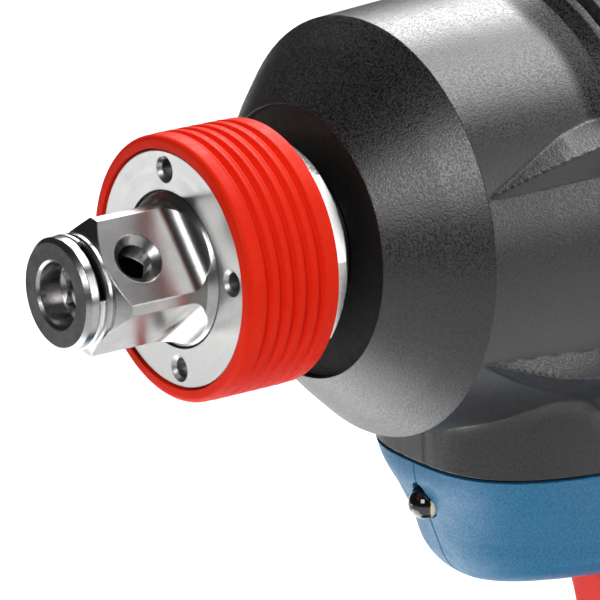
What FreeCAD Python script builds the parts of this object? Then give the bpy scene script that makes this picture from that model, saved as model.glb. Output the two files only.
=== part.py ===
import FreeCAD, Part
import math
import os
import re
import Sketcher
from FreeCAD import Placement, Rotation, Vector

# Cordless impact wrench with a combined square and hexagon drive.
#
# Every piece is drawn in the drive frame and then set down on its base.  The drive frame has
# its origin on the drive axis, at the front face of the collar's ring nut: +Y runs rearwards
# along the axis (a place along it is called a station), +Z is up and +X is the tool's left.
# A clock angle is measured round the axis, from straight up towards +X.
# In the finished part the origin is the middle of the battery's underside.

SIZES = {
    # where the finished part stands
    "axis_height": 210, "origin_station": 75,
    # drive square, measured across its flats, and the hexagon socket inside it
    "square_flats": 12.7, "square_corner": 8.33, "square_clock": 50, "flat_end": -3.0,
    "flat_fillet": 2.75, "tip_face": -16.15, "tip_radius": 6.6, "square_front": -12.4,
    "hex_flats": 6.4, "hex_floor": 13.5, "mouth_radius": 3.75, "mouth_bevel": 0.35,
    "mouth_depth": 3.2, "mouth_lead": 0.7, "hex_groove": 4.0, "hex_groove_depth": 4.3,
    "hex_groove_width": 0.6,
    "ring_groove_front": -14.55, "ring_groove_back": -13.45, "ring_groove_floor": 4.95,
    "cross_hole_station": -8.1, "cross_hole": 2.1, "cross_sink": 3.0, "cross_sink_depth": 0.9,
    "friction_mean": 6.2, "friction_wire": 0.48, "friction_sweep": 290, "friction_start": 85,
    "o_ring_mean": 5.33, "o_ring_wire": 0.36,
    # anvil behind the square
    "anvil_radius": 9.1, "anvil_end": 40, "wing_front": 34, "wing_radius": 18, "wing_half": 4.9,
    "wing_hub": 10.2, "pilot_bore": 4.1, "pilot_bore_front": 28,
    "circlip_front": 2.1, "circlip_back": 2.95, "circlip_floor": 8.3, "circlip_radius": 10.8,
    "lock_station": 11.6, "lock_radius": 1.4, "lock_inner": 2.75, "lock_outer": 8.9,
    # locking collar
    "nut_bore": 9.32, "nut_radius": 14.04, "nut_back": 2.0, "spanner_pitch": 11.75,
    "spanner_hole": 1.15, "spanner_sink": 1.6, "spanner_clock": -6.5,
    "sleeve_radius": 13.6, "sleeve_bore": 11.6, "sleeve_step": 9.18, "step_front": 9.6,
    "ramp_front": 10.2, "ramp_back": 13.7, "ramp_radius": 9.75, "tail_bore": 10.6,
    "tail_front": 12.4, "tail_back": 15.8, "tail_flats": 25.1,
    "grip_front": -0.3, "grip_radius": 15.7, "groove_depth": 0.45, "groove_half": 0.28,
    "collar_spring_mean": 10.4, "collar_spring_wire": 0.35,
    # cover, hammer case and the bush in its nose
    "lip_front": 18, "lip_radius": 16.4, "edge_station": 19.3, "edge_radius": 17.65,
    "crease_station": 27.45, "crease_radius": 25.3, "rim_station": 49, "rim_radius": 26.5,
    "rim_step": 28.9, "cover_back": 50.4, "ridge_height": 2.5,
    "case_front": 20.6, "case_nose": 16.0, "case_shoulder": 23.0, "case_radius": 24.2,
    "case_back": 78, "case_inner": 20.7, "ring_seat": 21.55, "ring_seat_front": 68,
    "seal_front": 18.8, "seal_back": 20.5, "seal_bore": 9.3, "seal_radius": 16.25,
    "bush_radius": 12, "bush_bore": 9.15, "bush_back": 33.4,
    "ear_pitch": 24, "ear_radius": 2.9, "ear_front": 70, "ear_hole": 1.5,
    # planetary gears
    "tooth_module": 0.7, "sun_teeth": 12, "planet_teeth": 18, "ring_teeth": 48,
    "planet_orbit": 10.5, "gear_front": 69.3, "gear_back": 75.7, "planet_bore": 2.55,
    "pin_radius": 2.48, "ring_gear_radius": 21.45,
    # cam shaft, hammer, cam balls and the spring behind the hammer
    "cam_radius": 7.0, "pilot_radius": 4.0, "pilot_front": 28.5, "cam_front": 40.4,
    "carrier_front": 66, "carrier_radius": 15.3, "front_disc_back": 68.9,
    "rear_disc_front": 76.1, "rear_disc_back": 78, "hub_radius": 8.0, "hub_back": 83,
    "sun_clear": 5.3, "pillar_radius": 3.0, "pillar_pitch": 11.8,
    "hammer_front": 40.6, "hammer_back": 58, "hammer_radius": 20, "hammer_bore": 7.06,
    "hammer_hub": 9.8, "hammer_hub_back": 56, "hammer_rim": 16.4, "cavity_front": 47,
    "lug_front": 37.6, "lug_inner": 10.5, "lug_outer": 18, "lug_half": 4.9,
    "ball_radius": 2.0, "ball_orbit": 7.03, "ball_station": 44.5, "ball_travel": 3.5,
    "ball_turn": 43, "groove_clear": 0.12,
    "spring_mean": 13.1, "spring_wire": 1.4, "thrust_ball": 1.2,
    # gearbox plate and bearings
    "plate_back": 82, "plate_radius": 26.9, "bearing_radius": 13.0, "bearing_front": 78.4,
    "bearing_back": 82.4, "shaft_radius": 3.0, "small_bearing": 8.0,
    "rear_bearing_front": 120, "rear_bearing_back": 124.5,
    # motor
    "stator_front": 89, "stator_back": 107, "stator_radius": 24.5, "stator_bore": 12.2,
    "rotor_radius": 11.6, "fan_front": 110.2, "fan_back": 117, "fan_radius": 19.5,
    "board_front": 84.6, "board_back": 85.8,
    # housing, drawn as two halves that meet on the middle plane
    "barrel_front": 51.3, "barrel_back": 118, "barrel_radius": 29.5, "barrel_inner": 27.1,
    "barrel_end": 28.5, "wall": 2.4, "rib_bore": 24.6,
    "skirt_bottom": -31, "chin_top": -31.25, "chin_bottom": -48.2, "neck_front": 35.4, "neck_half": 18.5,
    "cap_front": 118.2, "cap_back": 131, "cap_screw_pitch": 24.2,
    "foot_top": -152, "foot_bottom": -172, "foot_front": 24, "foot_back": 130,
    "foot_half": 37, "foot_round": 7,
    "tower_half": 27, "tower_top": -161, "tower_front": 30, "tower_back": 112,
    "rail_half": 24.6, "rail_bottom": -169, "rail_top": -166,
    # trigger, switch and lever
    "trigger_half": 8.5, "trigger_top": -49.6, "trigger_bottom": -82, "trigger_back": 76,
    "switch_front": 84.5, "switch_back": 102, "switch_half": 8,
    "lever_station": 80, "lever_level": -45, "lever_half": 20.5,
    # lamp
    "lamp_station": 37.1, "lamp_level": -36.9, "lamp_radius": 1.95, "lamp_tilt": 24,
    # battery
    "base_bottom": -210, "battery_top": -172.5, "battery_split": -190, "battery_half": 38.5,
    "battery_front": 17.5, "battery_back": 132.5, "battery_round": 6, "battery_wall": 2.2,
    "cell_radius": 10.6, "cell_pitch": 21.5, "cell_half": 34, "cell_level": -196.7,
    "blade_half": 0.4, "slot_half": 1.9,
    # clip and threaded insert on the foot's sides
    "clip_thick": 1.5, "clip_gap": 6.3, "clip_bottom": -169, "clip_top": -155,
    "insert_bore": 1.65, "insert_radius": 3.2, "insert_depth": 7, "insert_station": 110,
    "insert_level": -162,
}

doc = FreeCAD.newDocument("impact_wrench")
sheet = doc.addObject("Spreadsheet::Sheet", "dim")
for row, (alias, value) in enumerate(SIZES.items(), start=1):
    sheet.set(f"A{row}", alias)
    sheet.set(f"B{row}", str(value))
    sheet.setAlias(f"B{row}", alias)
doc.recompute()

NODES = []


# --- small helpers --------------------------------------------------------------------------

def formula(text):
    """Makes a formula of plain size names read them from the sheet."""
    def reader(found):
        word = found.group()
        return "dim." + word if word in SIZES else word
    return re.sub(r"[a-z_]+", reader, str(text))


def size(text):
    """Value of a formula, for shapes that are worked out point by point."""
    return float(sheet.evalExpression(formula(text)))


def bind(item, **formulas):
    """Ties properties of an object to formulas; x, y and z stand for its place."""
    for key, text in formulas.items():
        path = "Placement.Base." + key if key in ("x", "y", "z") else key
        item.setExpression(path, formula(text))
    return item


def along_axis(clock=0):
    """Rotation with local Z rearwards along the drive axis and local X at a clock angle."""
    angle = math.radians(clock)
    x_dir = Vector(math.sin(angle), 0, math.cos(angle))
    y_dir = Vector(math.cos(angle), 0, -math.sin(angle))
    return Rotation(x_dir, y_dir, Vector(0, 1, 0), "ZXY")


def rod(front, back, radius, x="0", z="0"):
    """Cylinder along the drive axis between two stations."""
    item = doc.addObject("Part::Cylinder", "rod")
    item.Placement = Placement(Vector(), Rotation(Vector(1, 0, 0), -90))
    return bind(item, Radius=radius, Height=f"({back}) - ({front})", x=x, y=front, z=z)


def cross_rod(low, high, radius, y, z):
    """Cylinder across the tool, along X."""
    item = doc.addObject("Part::Cylinder", "cross_rod")
    item.Placement = Placement(Vector(), Rotation(Vector(0, 1, 0), 90))
    return bind(item, Radius=radius, Height=f"({high}) - ({low})", x=low, y=y, z=z)


def post(x, y, low, high, radius):
    """Upright cylinder."""
    item = doc.addObject("Part::Cylinder", "post")
    return bind(item, Radius=radius, Height=f"({high}) - ({low})", x=x, y=y, z=low)


def prism(front, back, across_flats, sides, clock):
    """Prism along the drive axis, with one corner at the given clock angle."""
    item = doc.addObject("Part::Prism", "prism")
    item.Polygon = sides
    item.Placement = Placement(Vector(), along_axis(clock))
    corner = f"({across_flats}) / 2 / cos({180 / sides} deg)"
    return bind(item, Circumradius=corner, Height=f"({back}) - ({front})", y=front)


def block(x0, x1, y0, y1, z0, z1):
    """Box between two corners."""
    item = doc.addObject("Part::Box", "block")
    return bind(item, Length=f"({x1}) - ({x0})", Width=f"({y1}) - ({y0})",
                Height=f"({z1}) - ({z0})", x=x0, y=y0, z=z0)


def wide_block(half, y0, y1, z0, z1):
    """Box centred on the middle plane."""
    return block(f"-({half})", half, y0, y1, z0, z1)


def soft_block(half, y0, y1, z0, z1, radius):
    """Box centred on the middle plane with all its edges rounded."""
    body = doc.addObject("PartDesign::Body", "soft_block")
    solid = body.newObject("PartDesign::AdditiveBox", "solid")
    bind(solid, Length=f"2 * ({half})", Width=f"({y1}) - ({y0})", Height=f"({z1}) - ({z0})")
    bind(body, x=f"-({half})", y=y0, z=z0)
    doc.recompute()
    rounding = body.newObject("PartDesign::Fillet", "rounding")
    rounding.Base = (solid, [f"Edge{index}" for index in range(1, 13)])
    bind(rounding, Radius=radius)
    return body


def fuse(*items):
    if len(items) == 1:
        return items[0]
    item = doc.addObject("Part::MultiFuse", "fuse")
    item.Shapes = list(items)
    return item


def cut(base, *tools):
    item = doc.addObject("Part::Cut", "cut")
    item.Base = base
    item.Tool = fuse(*tools)
    return item


def common(first, second):
    item = doc.addObject("Part::Common", "common")
    item.Base = first
    item.Tool = second
    return item


def group(*items):
    item = doc.addObject("Part::Compound", "group")
    item.Links = list(items)
    return item


def clocked(item, clock):
    """The same piece turned round the drive axis by a clock angle."""
    holder = group(item)
    holder.Placement = Placement(Vector(), Rotation(Vector(0, 1, 0), 1))
    holder.setExpression("Placement.Rotation.Angle", f"({formula(clock)}) * 1 deg")
    return holder


def around(count, first_clock, make):
    """A ring of equal pieces round the drive axis."""
    step = 360 / count
    return [clocked(make(), f"{first_clock} + {step * index}") for index in range(count)]


def sketch_on(body, role, points):
    """Closed outline on one of a body's planes, each point held by two bound distances."""
    sketch = body.newObject("Sketcher::SketchObject", "outline")
    plane = [item for item in body.Origin.OriginFeatures if item.Role == role][0]
    sketch.AttachmentSupport = [(plane, "")]
    sketch.MapMode = "FlatFace"
    places = [(size(u), size(v)) for u, v in points]
    count = len(places)
    for index, start in enumerate(places):
        end = places[(index + 1) % count]
        line = Part.LineSegment(Vector(*start, 0), Vector(*end, 0))
        sketch.addGeometry(line, False)
    for index in range(count):
        following = (index + 1) % count
        sketch.addConstraint(Sketcher.Constraint("Coincident", index, 2, following, 1))
    for index, (u, v) in enumerate(points):
        for kind, text, value in (("DistanceX", u, 0), ("DistanceY", v, 1)):
            number = sketch.addConstraint(
                Sketcher.Constraint(kind, -1, 1, index, 1, places[index][value]))
            sketch.setExpression(f"Constraints[{number}]", formula(text))
    return sketch


def turned(points, angle="360"):
    """Body turned round the drive axis from an outline of (station, radius) points."""
    body = doc.addObject("PartDesign::Body", "turned")
    sketch = sketch_on(body, "YZ_Plane", points)
    turn = body.newObject("PartDesign::Revolution", "turn")
    turn.Profile = sketch
    turn.ReferenceAxis = (sketch, ["H_Axis"])
    turn.Midplane = True
    bind(turn, Angle=f"({angle}) * 1 deg")
    return body


def side_pad(points, width):
    """Body drawn from the side, as (station, height) points, and padded across the tool."""
    body = doc.addObject("PartDesign::Body", "side_pad")
    sketch = sketch_on(body, "YZ_Plane", points)
    pad = body.newObject("PartDesign::Pad", "pad")
    pad.Profile = sketch
    pad.Midplane = True
    bind(pad, Length=width)
    return body


def oval_loft(sections):
    """Upright loft through level ovals, each (height, middle station, half length, half width)."""
    ovals = []
    for level, middle, half_length, half_width in sections:
        oval = doc.addObject("Part::Ellipse", "oval")
        oval.Placement = Placement(Vector(), Rotation(Vector(0, 0, 1), 90))
        bind(oval, MajorRadius=half_length, MinorRadius=half_width, y=middle, z=level)
        ovals.append(oval)
    loft = doc.addObject("Part::Loft", "loft")
    loft.Sections = ovals
    loft.Solid = True
    loft.Ruled = True
    return loft


def shaped(shape):
    """Object for a shape that is worked out point by point."""
    item = doc.addObject("Part::Feature", "shaped")
    item.Shape = shape
    return item


def coil(front, back, mean_radius, wire, turns):
    """Coil spring along the drive axis, with open ends."""
    height = size(f"({back}) - ({front}) - 2 * ({wire})")
    spine = Part.makeLongHelix(height / turns, height, size(mean_radius))
    ring = Part.makeCircle(size(wire), Vector(size(mean_radius), 0, 0), Vector(0, 1, 0))
    solid = Part.Wire(spine.Edges).makePipeShell([Part.Wire([ring])], True, True)
    solid.Placement = Placement(Vector(0, size(f"({front}) + ({wire})"), 0), along_axis())
    return shaped(Part.Solid(solid) if solid.ShapeType == "Shell" else solid)


def node(label, item):
    """Names a finished piece and sets it down on the base."""
    if item.TypeId in ("Part::Cylinder", "Part::Box", "Part::Torus"):
        item = group(item)
    item.Label = label
    if item.TypeId == "Part::Feature":
        item.Placement = Placement(Vector(0, -size("origin_station"), size("axis_height")),
                                   Rotation()).multiply(item.Placement)
    else:
        bind(item, y="-origin_station", z="axis_height")
    NODES.append(item)


# --- gear teeth -----------------------------------------------------------------------------

PRESSURE_ANGLE = math.radians(25)
BACKLASH = 0.08
FLANK_POINTS = 5


def involute_angle(base, radius):
    """Polar angle of an involute of the base circle where it reaches a radius."""
    roll = math.sqrt(max(radius * radius / (base * base) - 1, 0))
    return roll - math.atan(roll)


def gear_blank(teeth, tip, root, thinner, first_clock, front, back):
    """Toothed prism; a tooth points at the first clock angle."""
    module = size("tooth_module")
    pitch = module * teeth / 2
    base = pitch * math.cos(PRESSURE_ANGLE)
    half_pitch = (math.pi * module / 2 - thinner) / 2 / pitch
    flank = []
    for index in range(FLANK_POINTS):
        start = max(base, root)
        radius = start + (tip - start) * index / (FLANK_POINTS - 1)
        half = half_pitch + involute_angle(base, pitch) - involute_angle(base, radius)
        flank.append((radius, half))
    if root < base:
        flank.insert(0, (root, flank[0][1]))
    outline = []
    for tooth in range(teeth):
        middle = math.radians(first_clock) + 2 * math.pi * tooth / teeth
        for radius, half in flank:
            outline.append((radius, middle - half))
        for radius, half in reversed(flank):
            outline.append((radius, middle + half))
    points = [Vector(radius * math.sin(turn), front, radius * math.cos(turn))
              for radius, turn in outline]
    face = Part.Face(Part.makePolygon(points + [points[0]]))
    return face.extrude(Vector(0, back - front, 0))


def outside_gear(teeth, first_clock):
    module = size("tooth_module")
    pitch = module * teeth / 2
    return gear_blank(teeth, pitch + 0.88 * module, pitch - 1.22 * module, BACKLASH,
                      first_clock, size("gear_front"), size("gear_back"))


# --- anvil ----------------------------------------------------------------------------------

def flat_cutter():
    """What is milled off for one flat of the square, with a round run-out at the shoulder."""
    top = "square_flats / 2 + flat_fillet"
    deep = wide_block("12", "square_front - 0.4", "flat_end", "square_flats / 2", "14")
    high = wide_block("12", "square_front - 0.4", "flat_end + flat_fillet", top, "14")
    round_end = cross_rod("-12", "12", "flat_fillet", "flat_end", top)
    return fuse(deep, high, round_end)


def cross_cutter():
    """One countersunk half of the hole through the square."""
    item = post("0", "cross_hole_station", "0", "square_flats", "cross_hole")
    cone = doc.addObject("Part::Cone", "sink")
    bind(cone, Radius1="cross_hole", Radius2="cross_sink", Height="cross_sink_depth",
         y="cross_hole_station", z="square_flats / 2 - cross_sink_depth")
    return fuse(item, cone)


def make_anvil():
    outside = turned([
        ("tip_face", "0"), ("tip_face", "tip_radius - 0.53"), ("tip_face + 0.55", "tip_radius"),
        ("ring_groove_front", "tip_radius"), ("ring_groove_front", "ring_groove_floor"),
        ("ring_groove_back", "ring_groove_floor"), ("ring_groove_back", "tip_radius - 0.3"),
        ("ring_groove_back + 0.25", "tip_radius"), ("square_front - 0.3", "tip_radius"),
        ("square_front - 0.1", "tip_radius - 0.2"), ("square_front", "tip_radius + 0.1"),
        ("square_front + 1.1", "square_corner"), ("-0.9", "square_corner"),
        ("-0.15", "anvil_radius - 0.25"), ("0.1", "anvil_radius"),
        ("circlip_front", "anvil_radius"), ("circlip_front", "circlip_floor"),
        ("circlip_back", "circlip_floor"), ("circlip_back", "anvil_radius"),
        ("wing_front", "anvil_radius"), ("wing_front", "wing_hub"), ("anvil_end", "wing_hub"),
        ("anvil_end", "0")])
    wings = common(rod("wing_front", "anvil_end", "wing_radius"),
                   block("-20", "20", "wing_front", "anvil_end", "-wing_half", "wing_half"))
    hexagon = prism("tip_face - 1", "hex_floor", "hex_flats", 6, SIZES["square_clock"])
    mouth = turned([
        ("tip_face - 0.1", "0"), ("tip_face - 0.1", "mouth_radius + mouth_bevel + 0.1"),
        ("tip_face + mouth_bevel", "mouth_radius"), ("tip_face + mouth_depth", "mouth_radius"),
        ("tip_face + mouth_depth + mouth_lead", "mouth_radius - mouth_lead"),
        ("tip_face + mouth_depth + mouth_lead", "0")])
    groove = rod("tip_face + hex_groove_depth", "tip_face + hex_groove_depth + hex_groove_width",
                 "hex_groove")
    pilot = rod("pilot_bore_front", "anvil_end + 1", "pilot_bore")
    locks = cross_rod("-12", "12", "lock_radius + 0.06", "lock_station", "0")
    cross = around(2, "square_clock", cross_cutter)
    flats = around(4, "square_clock", flat_cutter)
    node("anvil", cut(fuse(outside, wings), hexagon, mouth, groove, pilot, locks,
                      *cross, *flats))


def make_anvil_fittings():
    ring = doc.addObject("Part::Torus", "ring")
    ring.Placement = Placement(Vector(), along_axis(SIZES["friction_start"]))
    bind(ring, Radius1="friction_mean", Radius2="friction_wire",
         Angle3="friction_sweep * 1 deg", y="(ring_groove_front + ring_groove_back) / 2")
    node("friction_ring", ring)
    seal = doc.addObject("Part::Torus", "seal")
    seal.Placement = Placement(Vector(), along_axis())
    bind(seal, Radius1="o_ring_mean", Radius2="o_ring_wire",
         y="(ring_groove_front + ring_groove_back) / 2")
    node("friction_o_ring", seal)
    full = turned([("circlip_front + 0.02", "circlip_floor + 0.05"),
                   ("circlip_front + 0.02", "circlip_radius"),
                   ("circlip_back - 0.02", "circlip_radius"),
                   ("circlip_back - 0.02", "circlip_floor + 0.05")])
    gap = block("-2", "2", "circlip_front - 1", "circlip_back + 1", "0", "14")
    node("collar_retaining_ring", cut(full, gap))
    node("collar_spring", coil("circlip_back + 0.3", "step_front - 0.1", "collar_spring_mean",
                               "collar_spring_wire", 3.5))
    for label, side in (("bit_lock_pin_left", 1), ("bit_lock_pin_right", -1)):
        ends = sorted([("lock_inner", side), ("lock_outer", side)],
                      key=lambda end: side * SIZES[end[0]])
        low, high = [f"{side} * {name}" for name, _ in ends]
        pin = cross_rod(low, high, "lock_radius", "lock_station", "0")
        node(label, pin)


# --- locking collar -------------------------------------------------------------------------

def make_collar():
    disc = turned([("0", "nut_bore"), ("0", "nut_radius - 0.2"), ("0.2", "nut_radius"),
                   ("nut_back", "nut_radius"), ("nut_back", "nut_bore")])

    def spanner_hole():
        hole = rod("-1", "nut_back + 1", "spanner_hole", z="spanner_pitch")
        sink = doc.addObject("Part::Cone", "sink")
        sink.Placement = Placement(Vector(), along_axis())
        bind(sink, Radius1="spanner_sink + 0.1", Radius2="spanner_hole",
             Height="spanner_sink + 0.1 - spanner_hole", y="-0.1", z="spanner_pitch")
        return fuse(hole, sink)

    node("collar_plate", cut(disc, *around(4, "spanner_clock", spanner_hole)))

    blank = turned([
        ("nut_back + 0.05", "sleeve_bore"), ("nut_back + 0.05", "sleeve_radius"),
        ("tail_back - 0.9", "sleeve_radius"), ("tail_back", "sleeve_radius - 1"),
        ("tail_back", "tail_bore"), ("ramp_back", "tail_bore"), ("ramp_back", "ramp_radius"),
        ("ramp_front", "sleeve_step"), ("step_front", "sleeve_step"),
        ("step_front", "sleeve_bore")])
    round_part = rod("nut_back", "tail_front", "sleeve_radius + 1")
    tail = prism("tail_front", "tail_back", "tail_flats", 8, SIZES["spanner_clock"])
    node("collar_sleeve", common(blank, fuse(round_part, tail)))

    outline = [
        ("grip_front", "nut_radius + 0.12"), ("grip_front", "nut_radius + 0.6"),
        ("grip_front + 0.35", "grip_radius - 0.35"), ("grip_front + 1", "grip_radius")]
    for station in (2.4, 4.4, 6.0, 7.9, 9.8):
        outline += [(f"{station} - groove_half", "grip_radius"),
                    (f"{station} - groove_half / 2", "grip_radius - groove_depth"),
                    (f"{station} + groove_half / 2", "grip_radius - groove_depth"),
                    (f"{station} + groove_half", "grip_radius")]
    outline += [
        ("tail_front - 0.4", "grip_radius"), ("tail_front", "grip_radius - 0.4"),
        ("tail_front", "sleeve_radius + 0.05"), ("nut_back + 0.05", "sleeve_radius + 0.05"),
        ("nut_back + 0.05", "nut_radius + 0.12")]
    node("collar_grip", turned(outline))


# --- hammer case and its cover ----------------------------------------------------------------

NECK_SECTIONS = [
    ("-12", "71", "71 - neck_front", "neck_half + 0.5"),
    ("chin_top", "71", "71 - neck_front", "neck_half"),
    ("-39.5", "72.2", "34.0", "neck_half - 0.3"),
    ("-42.6", "72.8", "33.4", "neck_half - 0.8"),
    ("-45", "73.3", "32.7", "neck_half - 3.6"),
    ("-47", "74.3", "31.4", "neck_half - 7.5"),
    ("chin_bottom", "76", "28", "neck_half - 11"),
]


def make_cover():
    shell = turned([
        ("lip_front", "lip_radius - 0.1"), ("edge_station", "edge_radius"),
        ("crease_station", "crease_radius"), ("rim_station", "rim_radius"),
        ("rim_station + 0.1", "rim_step"), ("cover_back", "rim_step"),
        ("cover_back", "case_radius + 0.35"), ("rim_station", "case_radius + 0.3"),
        ("crease_station + 0.1", "case_shoulder + 0.35"), ("case_front", "lip_radius - 0.1")])
    case_room = turned([
        ("case_front - 0.2", "0"), ("case_front - 0.2", "lip_radius - 0.1"),
        ("crease_station + 0.1", "case_shoulder + 0.35"), ("cover_back + 1", "case_radius + 0.35"),
        ("cover_back + 1", "0")])
    oval = oval_loft([("skirt_bottom", "71", "71 - neck_front", "neck_half"),
                      ("-10", "71", "71 - neck_front", "neck_half")])
    hollow = oval_loft([("skirt_bottom - 1", "71", "71 - neck_front - wall", "neck_half - wall"),
                        ("-10", "71", "71 - neck_front - wall", "neck_half - wall")])
    skirt = common(cut(oval, hollow),
                   wide_block("30", "30", "cover_back", "skirt_bottom", "-18"))

    def ridge(clock, spread):
        """Raised rib that grows out of the cone and is highest at the rear rim."""
        rib = turned([("crease_station - 1", "crease_radius - 3"),
                      ("crease_station", "crease_radius - 0.05"),
                      ("rim_station - 5", "rim_radius - 0.3 + ridge_height"),
                      ("rim_station", "rim_radius + ridge_height - 0.1"),
                      ("rim_station", "rim_radius - 1.5")], spread)
        return clocked(rib, clock)

    ribs = [ridge(62, 11), ridge(126, 13), ridge(-62, 11), ridge(-126, 13)]
    node("hammer_case_cover", cut(fuse(shell, skirt, *ribs), case_room))


def make_case():
    bell = turned([
        ("case_front", "bush_radius + 0.02"), ("case_front", "case_nose"),
        ("crease_station", "case_shoulder"), ("rim_station", "case_radius"),
        ("case_back", "case_radius"), ("case_back", "ring_seat"),
        ("ring_seat_front", "ring_seat"), ("ring_seat_front", "case_inner"),
        ("wing_front - 0.3", "case_inner"), ("wing_front - 0.3", "bush_radius + 0.02")])
    ears = around(4, 45, lambda: rod("ear_front", "case_back", "ear_radius", z="ear_pitch"))
    holes = around(4, 45, lambda: rod("ear_front - 1", "case_back + 1", "ear_hole - 0.15",
                                      z="ear_pitch"))
    inside = rod("ring_seat_front", "case_back + 1", "ring_seat")
    node("hammer_case", cut(fuse(bell, *ears), inside, *holes))
    node("nose_seal", turned([
        ("seal_front", "seal_bore"), ("seal_front", "seal_radius"), ("seal_back", "seal_radius"),
        ("seal_back", "seal_bore")]))
    node("anvil_bush", turned([("case_front", "bush_bore"), ("case_front", "bush_radius"),
                               ("bush_back", "bush_radius"), ("bush_back", "bush_bore")]))

    plate = turned([
        ("case_back + 0.2", "bearing_radius + 0.02"), ("case_back + 0.2", "plate_radius"),
        ("plate_back", "plate_radius"), ("plate_back", "15.5"), ("84", "15.5"),
        ("84", "10.6"), ("88.2", "10.6"), ("88.2", "small_bearing + 0.02"),
        ("84.2", "small_bearing + 0.02"), ("84.2", "5"), ("83.3", "5"), ("83.3", "9"),
        ("bearing_back + 0.1", "9"), ("bearing_back + 0.1", "bearing_radius + 0.02")])
    plate_holes = around(4, 45, lambda: rod("case_back", "plate_back + 1", "ear_hole",
                                            z="ear_pitch"))
    node("gearbox_plate", cut(plate, *plate_holes))

    def case_screw():
        shank = rod("ear_front + 0.5", "plate_back + 0.5", "ear_hole - 0.17", z="ear_pitch")
        head = rod("plate_back + 0.02", "plate_back + 2.2", "2.75", z="ear_pitch")
        drive = prism("plate_back + 1", "plate_back + 3", "2.4", 6, 0)
        bind(drive, z="ear_pitch")
        return cut(fuse(shank, head), drive)

    node("case_screws", group(*around(4, 45, case_screw)))


def bearing(front, back, bore, radius):
    """Ball bearing with both races and the balls between them."""
    middle = f"(({bore}) + ({radius})) / 2"
    race = f"(({radius}) - ({bore})) / 4"
    inner = turned([(front, bore), (front, f"{bore} + {race}"), (back, f"{bore} + {race}"),
                    (back, bore)])
    outer = turned([(front, f"{radius} - {race}"), (front, radius), (back, radius),
                    (back, f"{radius} - {race}")])
    ball = f"{race} * 1.3"

    def one_ball():
        item = doc.addObject("Part::Sphere", "ball")
        return bind(item, Radius=ball, y=f"(({front}) + ({back})) / 2", z=middle)

    return fuse(inner, outer, *around(8, 0, one_ball))


def make_bearings():
    node("carrier_bearing", bearing("bearing_front", "bearing_back", "hub_radius + 0.03",
                                    "bearing_radius"))
    node("motor_front_bearing", bearing("84.4", "88", "shaft_radius + 0.03", "small_bearing"))
    node("motor_rear_bearing", bearing("rear_bearing_front", "rear_bearing_back",
                                       "shaft_radius + 0.03", "small_bearing"))


# --- gear train -----------------------------------------------------------------------------

def make_gears():
    module = size("tooth_module")
    ring_pitch = module * size("ring_teeth") / 2
    spaces = gear_blank(int(size("ring_teeth")), ring_pitch + 1.25 * module,
                        ring_pitch - 0.8 * module, -BACKLASH, 0, size("gear_front") - 1,
                        size("gear_back") + 1)
    band = rod("gear_front - 0.3", "gear_back + 0.3", "ring_gear_radius")
    node("ring_gear", cut(band, shaped(spaces)))
    for index in range(3):
        clock = 120 * index
        teeth = shaped(outside_gear(int(size("planet_teeth")), 0))
        bore = rod("gear_front - 1", "gear_back + 1", "planet_bore")
        gear = cut(teeth, bore)
        bind(gear, z="planet_orbit")
        node(f"planet_gear_{index + 1}", group(clocked(gear, clock)))
    pins = around(3, 0, lambda: rod("carrier_front + 0.3", "rear_disc_back - 0.3", "pin_radius",
                                    z="planet_orbit"))
    node("planet_pins", group(*pins))


def cam_grooves(turn_sign, travel_sign, radius_extra):
    """Pair of round-bottomed V grooves, run as balls that roll along a helix both ways."""
    radius = size("ball_radius") + size("groove_clear") + radius_extra
    orbit = size("ball_orbit")
    steps = 6
    pieces = []
    for start in (90, 270):
        for side in (-1, 1):
            last = None
            for step in range(steps + 1):
                share = step / steps
                clock = math.radians(start + side * turn_sign * size("ball_turn") * share)
                station = size("ball_station") + travel_sign * size("ball_travel") * share
                spot = Vector(orbit * math.sin(clock), station, orbit * math.cos(clock))
                pieces.append(Part.makeSphere(radius, spot))
                if last is not None:
                    run = spot - last
                    pieces.append(Part.makeCylinder(radius, run.Length, last, run))
                last = spot
    return shaped(pieces[0].fuse(pieces[1:]))


def make_cam():
    shaft = turned([
        ("pilot_front", "0"), ("pilot_front", "pilot_radius - 0.4"),
        ("pilot_front + 0.4", "pilot_radius"), ("cam_front", "pilot_radius"),
        ("cam_front", "cam_radius"), ("carrier_front", "cam_radius"),
        ("carrier_front", "carrier_radius"), ("front_disc_back", "carrier_radius"),
        ("front_disc_back", "0")])
    rear = turned([
        ("rear_disc_front", "sun_clear"), ("rear_disc_front", "carrier_radius"),
        ("rear_disc_back", "carrier_radius"), ("rear_disc_back", "hub_radius"),
        ("hub_back", "hub_radius"), ("hub_back", "sun_clear")])
    pillars = around(3, 60, lambda: rod("front_disc_back - 0.5", "rear_disc_front + 0.5",
                                        "pillar_radius", z="pillar_pitch"))
    pin_holes = around(3, 0, lambda: rod("carrier_front + 0.3", "rear_disc_back - 0.3",
                                         "pin_radius + 0.01", z="planet_orbit"))
    sun_room = rod("front_disc_back - 1.4", "hub_back + 1", "sun_clear")
    node("cam_shaft", cut(fuse(shaft, rear, *pillars), sun_room, cam_grooves(1, 1, 0),
                          *pin_holes))

    def ball():
        item = doc.addObject("Part::Sphere", "ball")
        return bind(item, Radius="ball_radius", y="ball_station", z="ball_orbit")

    node("cam_balls", group(*around(2, 90, ball)))


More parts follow.
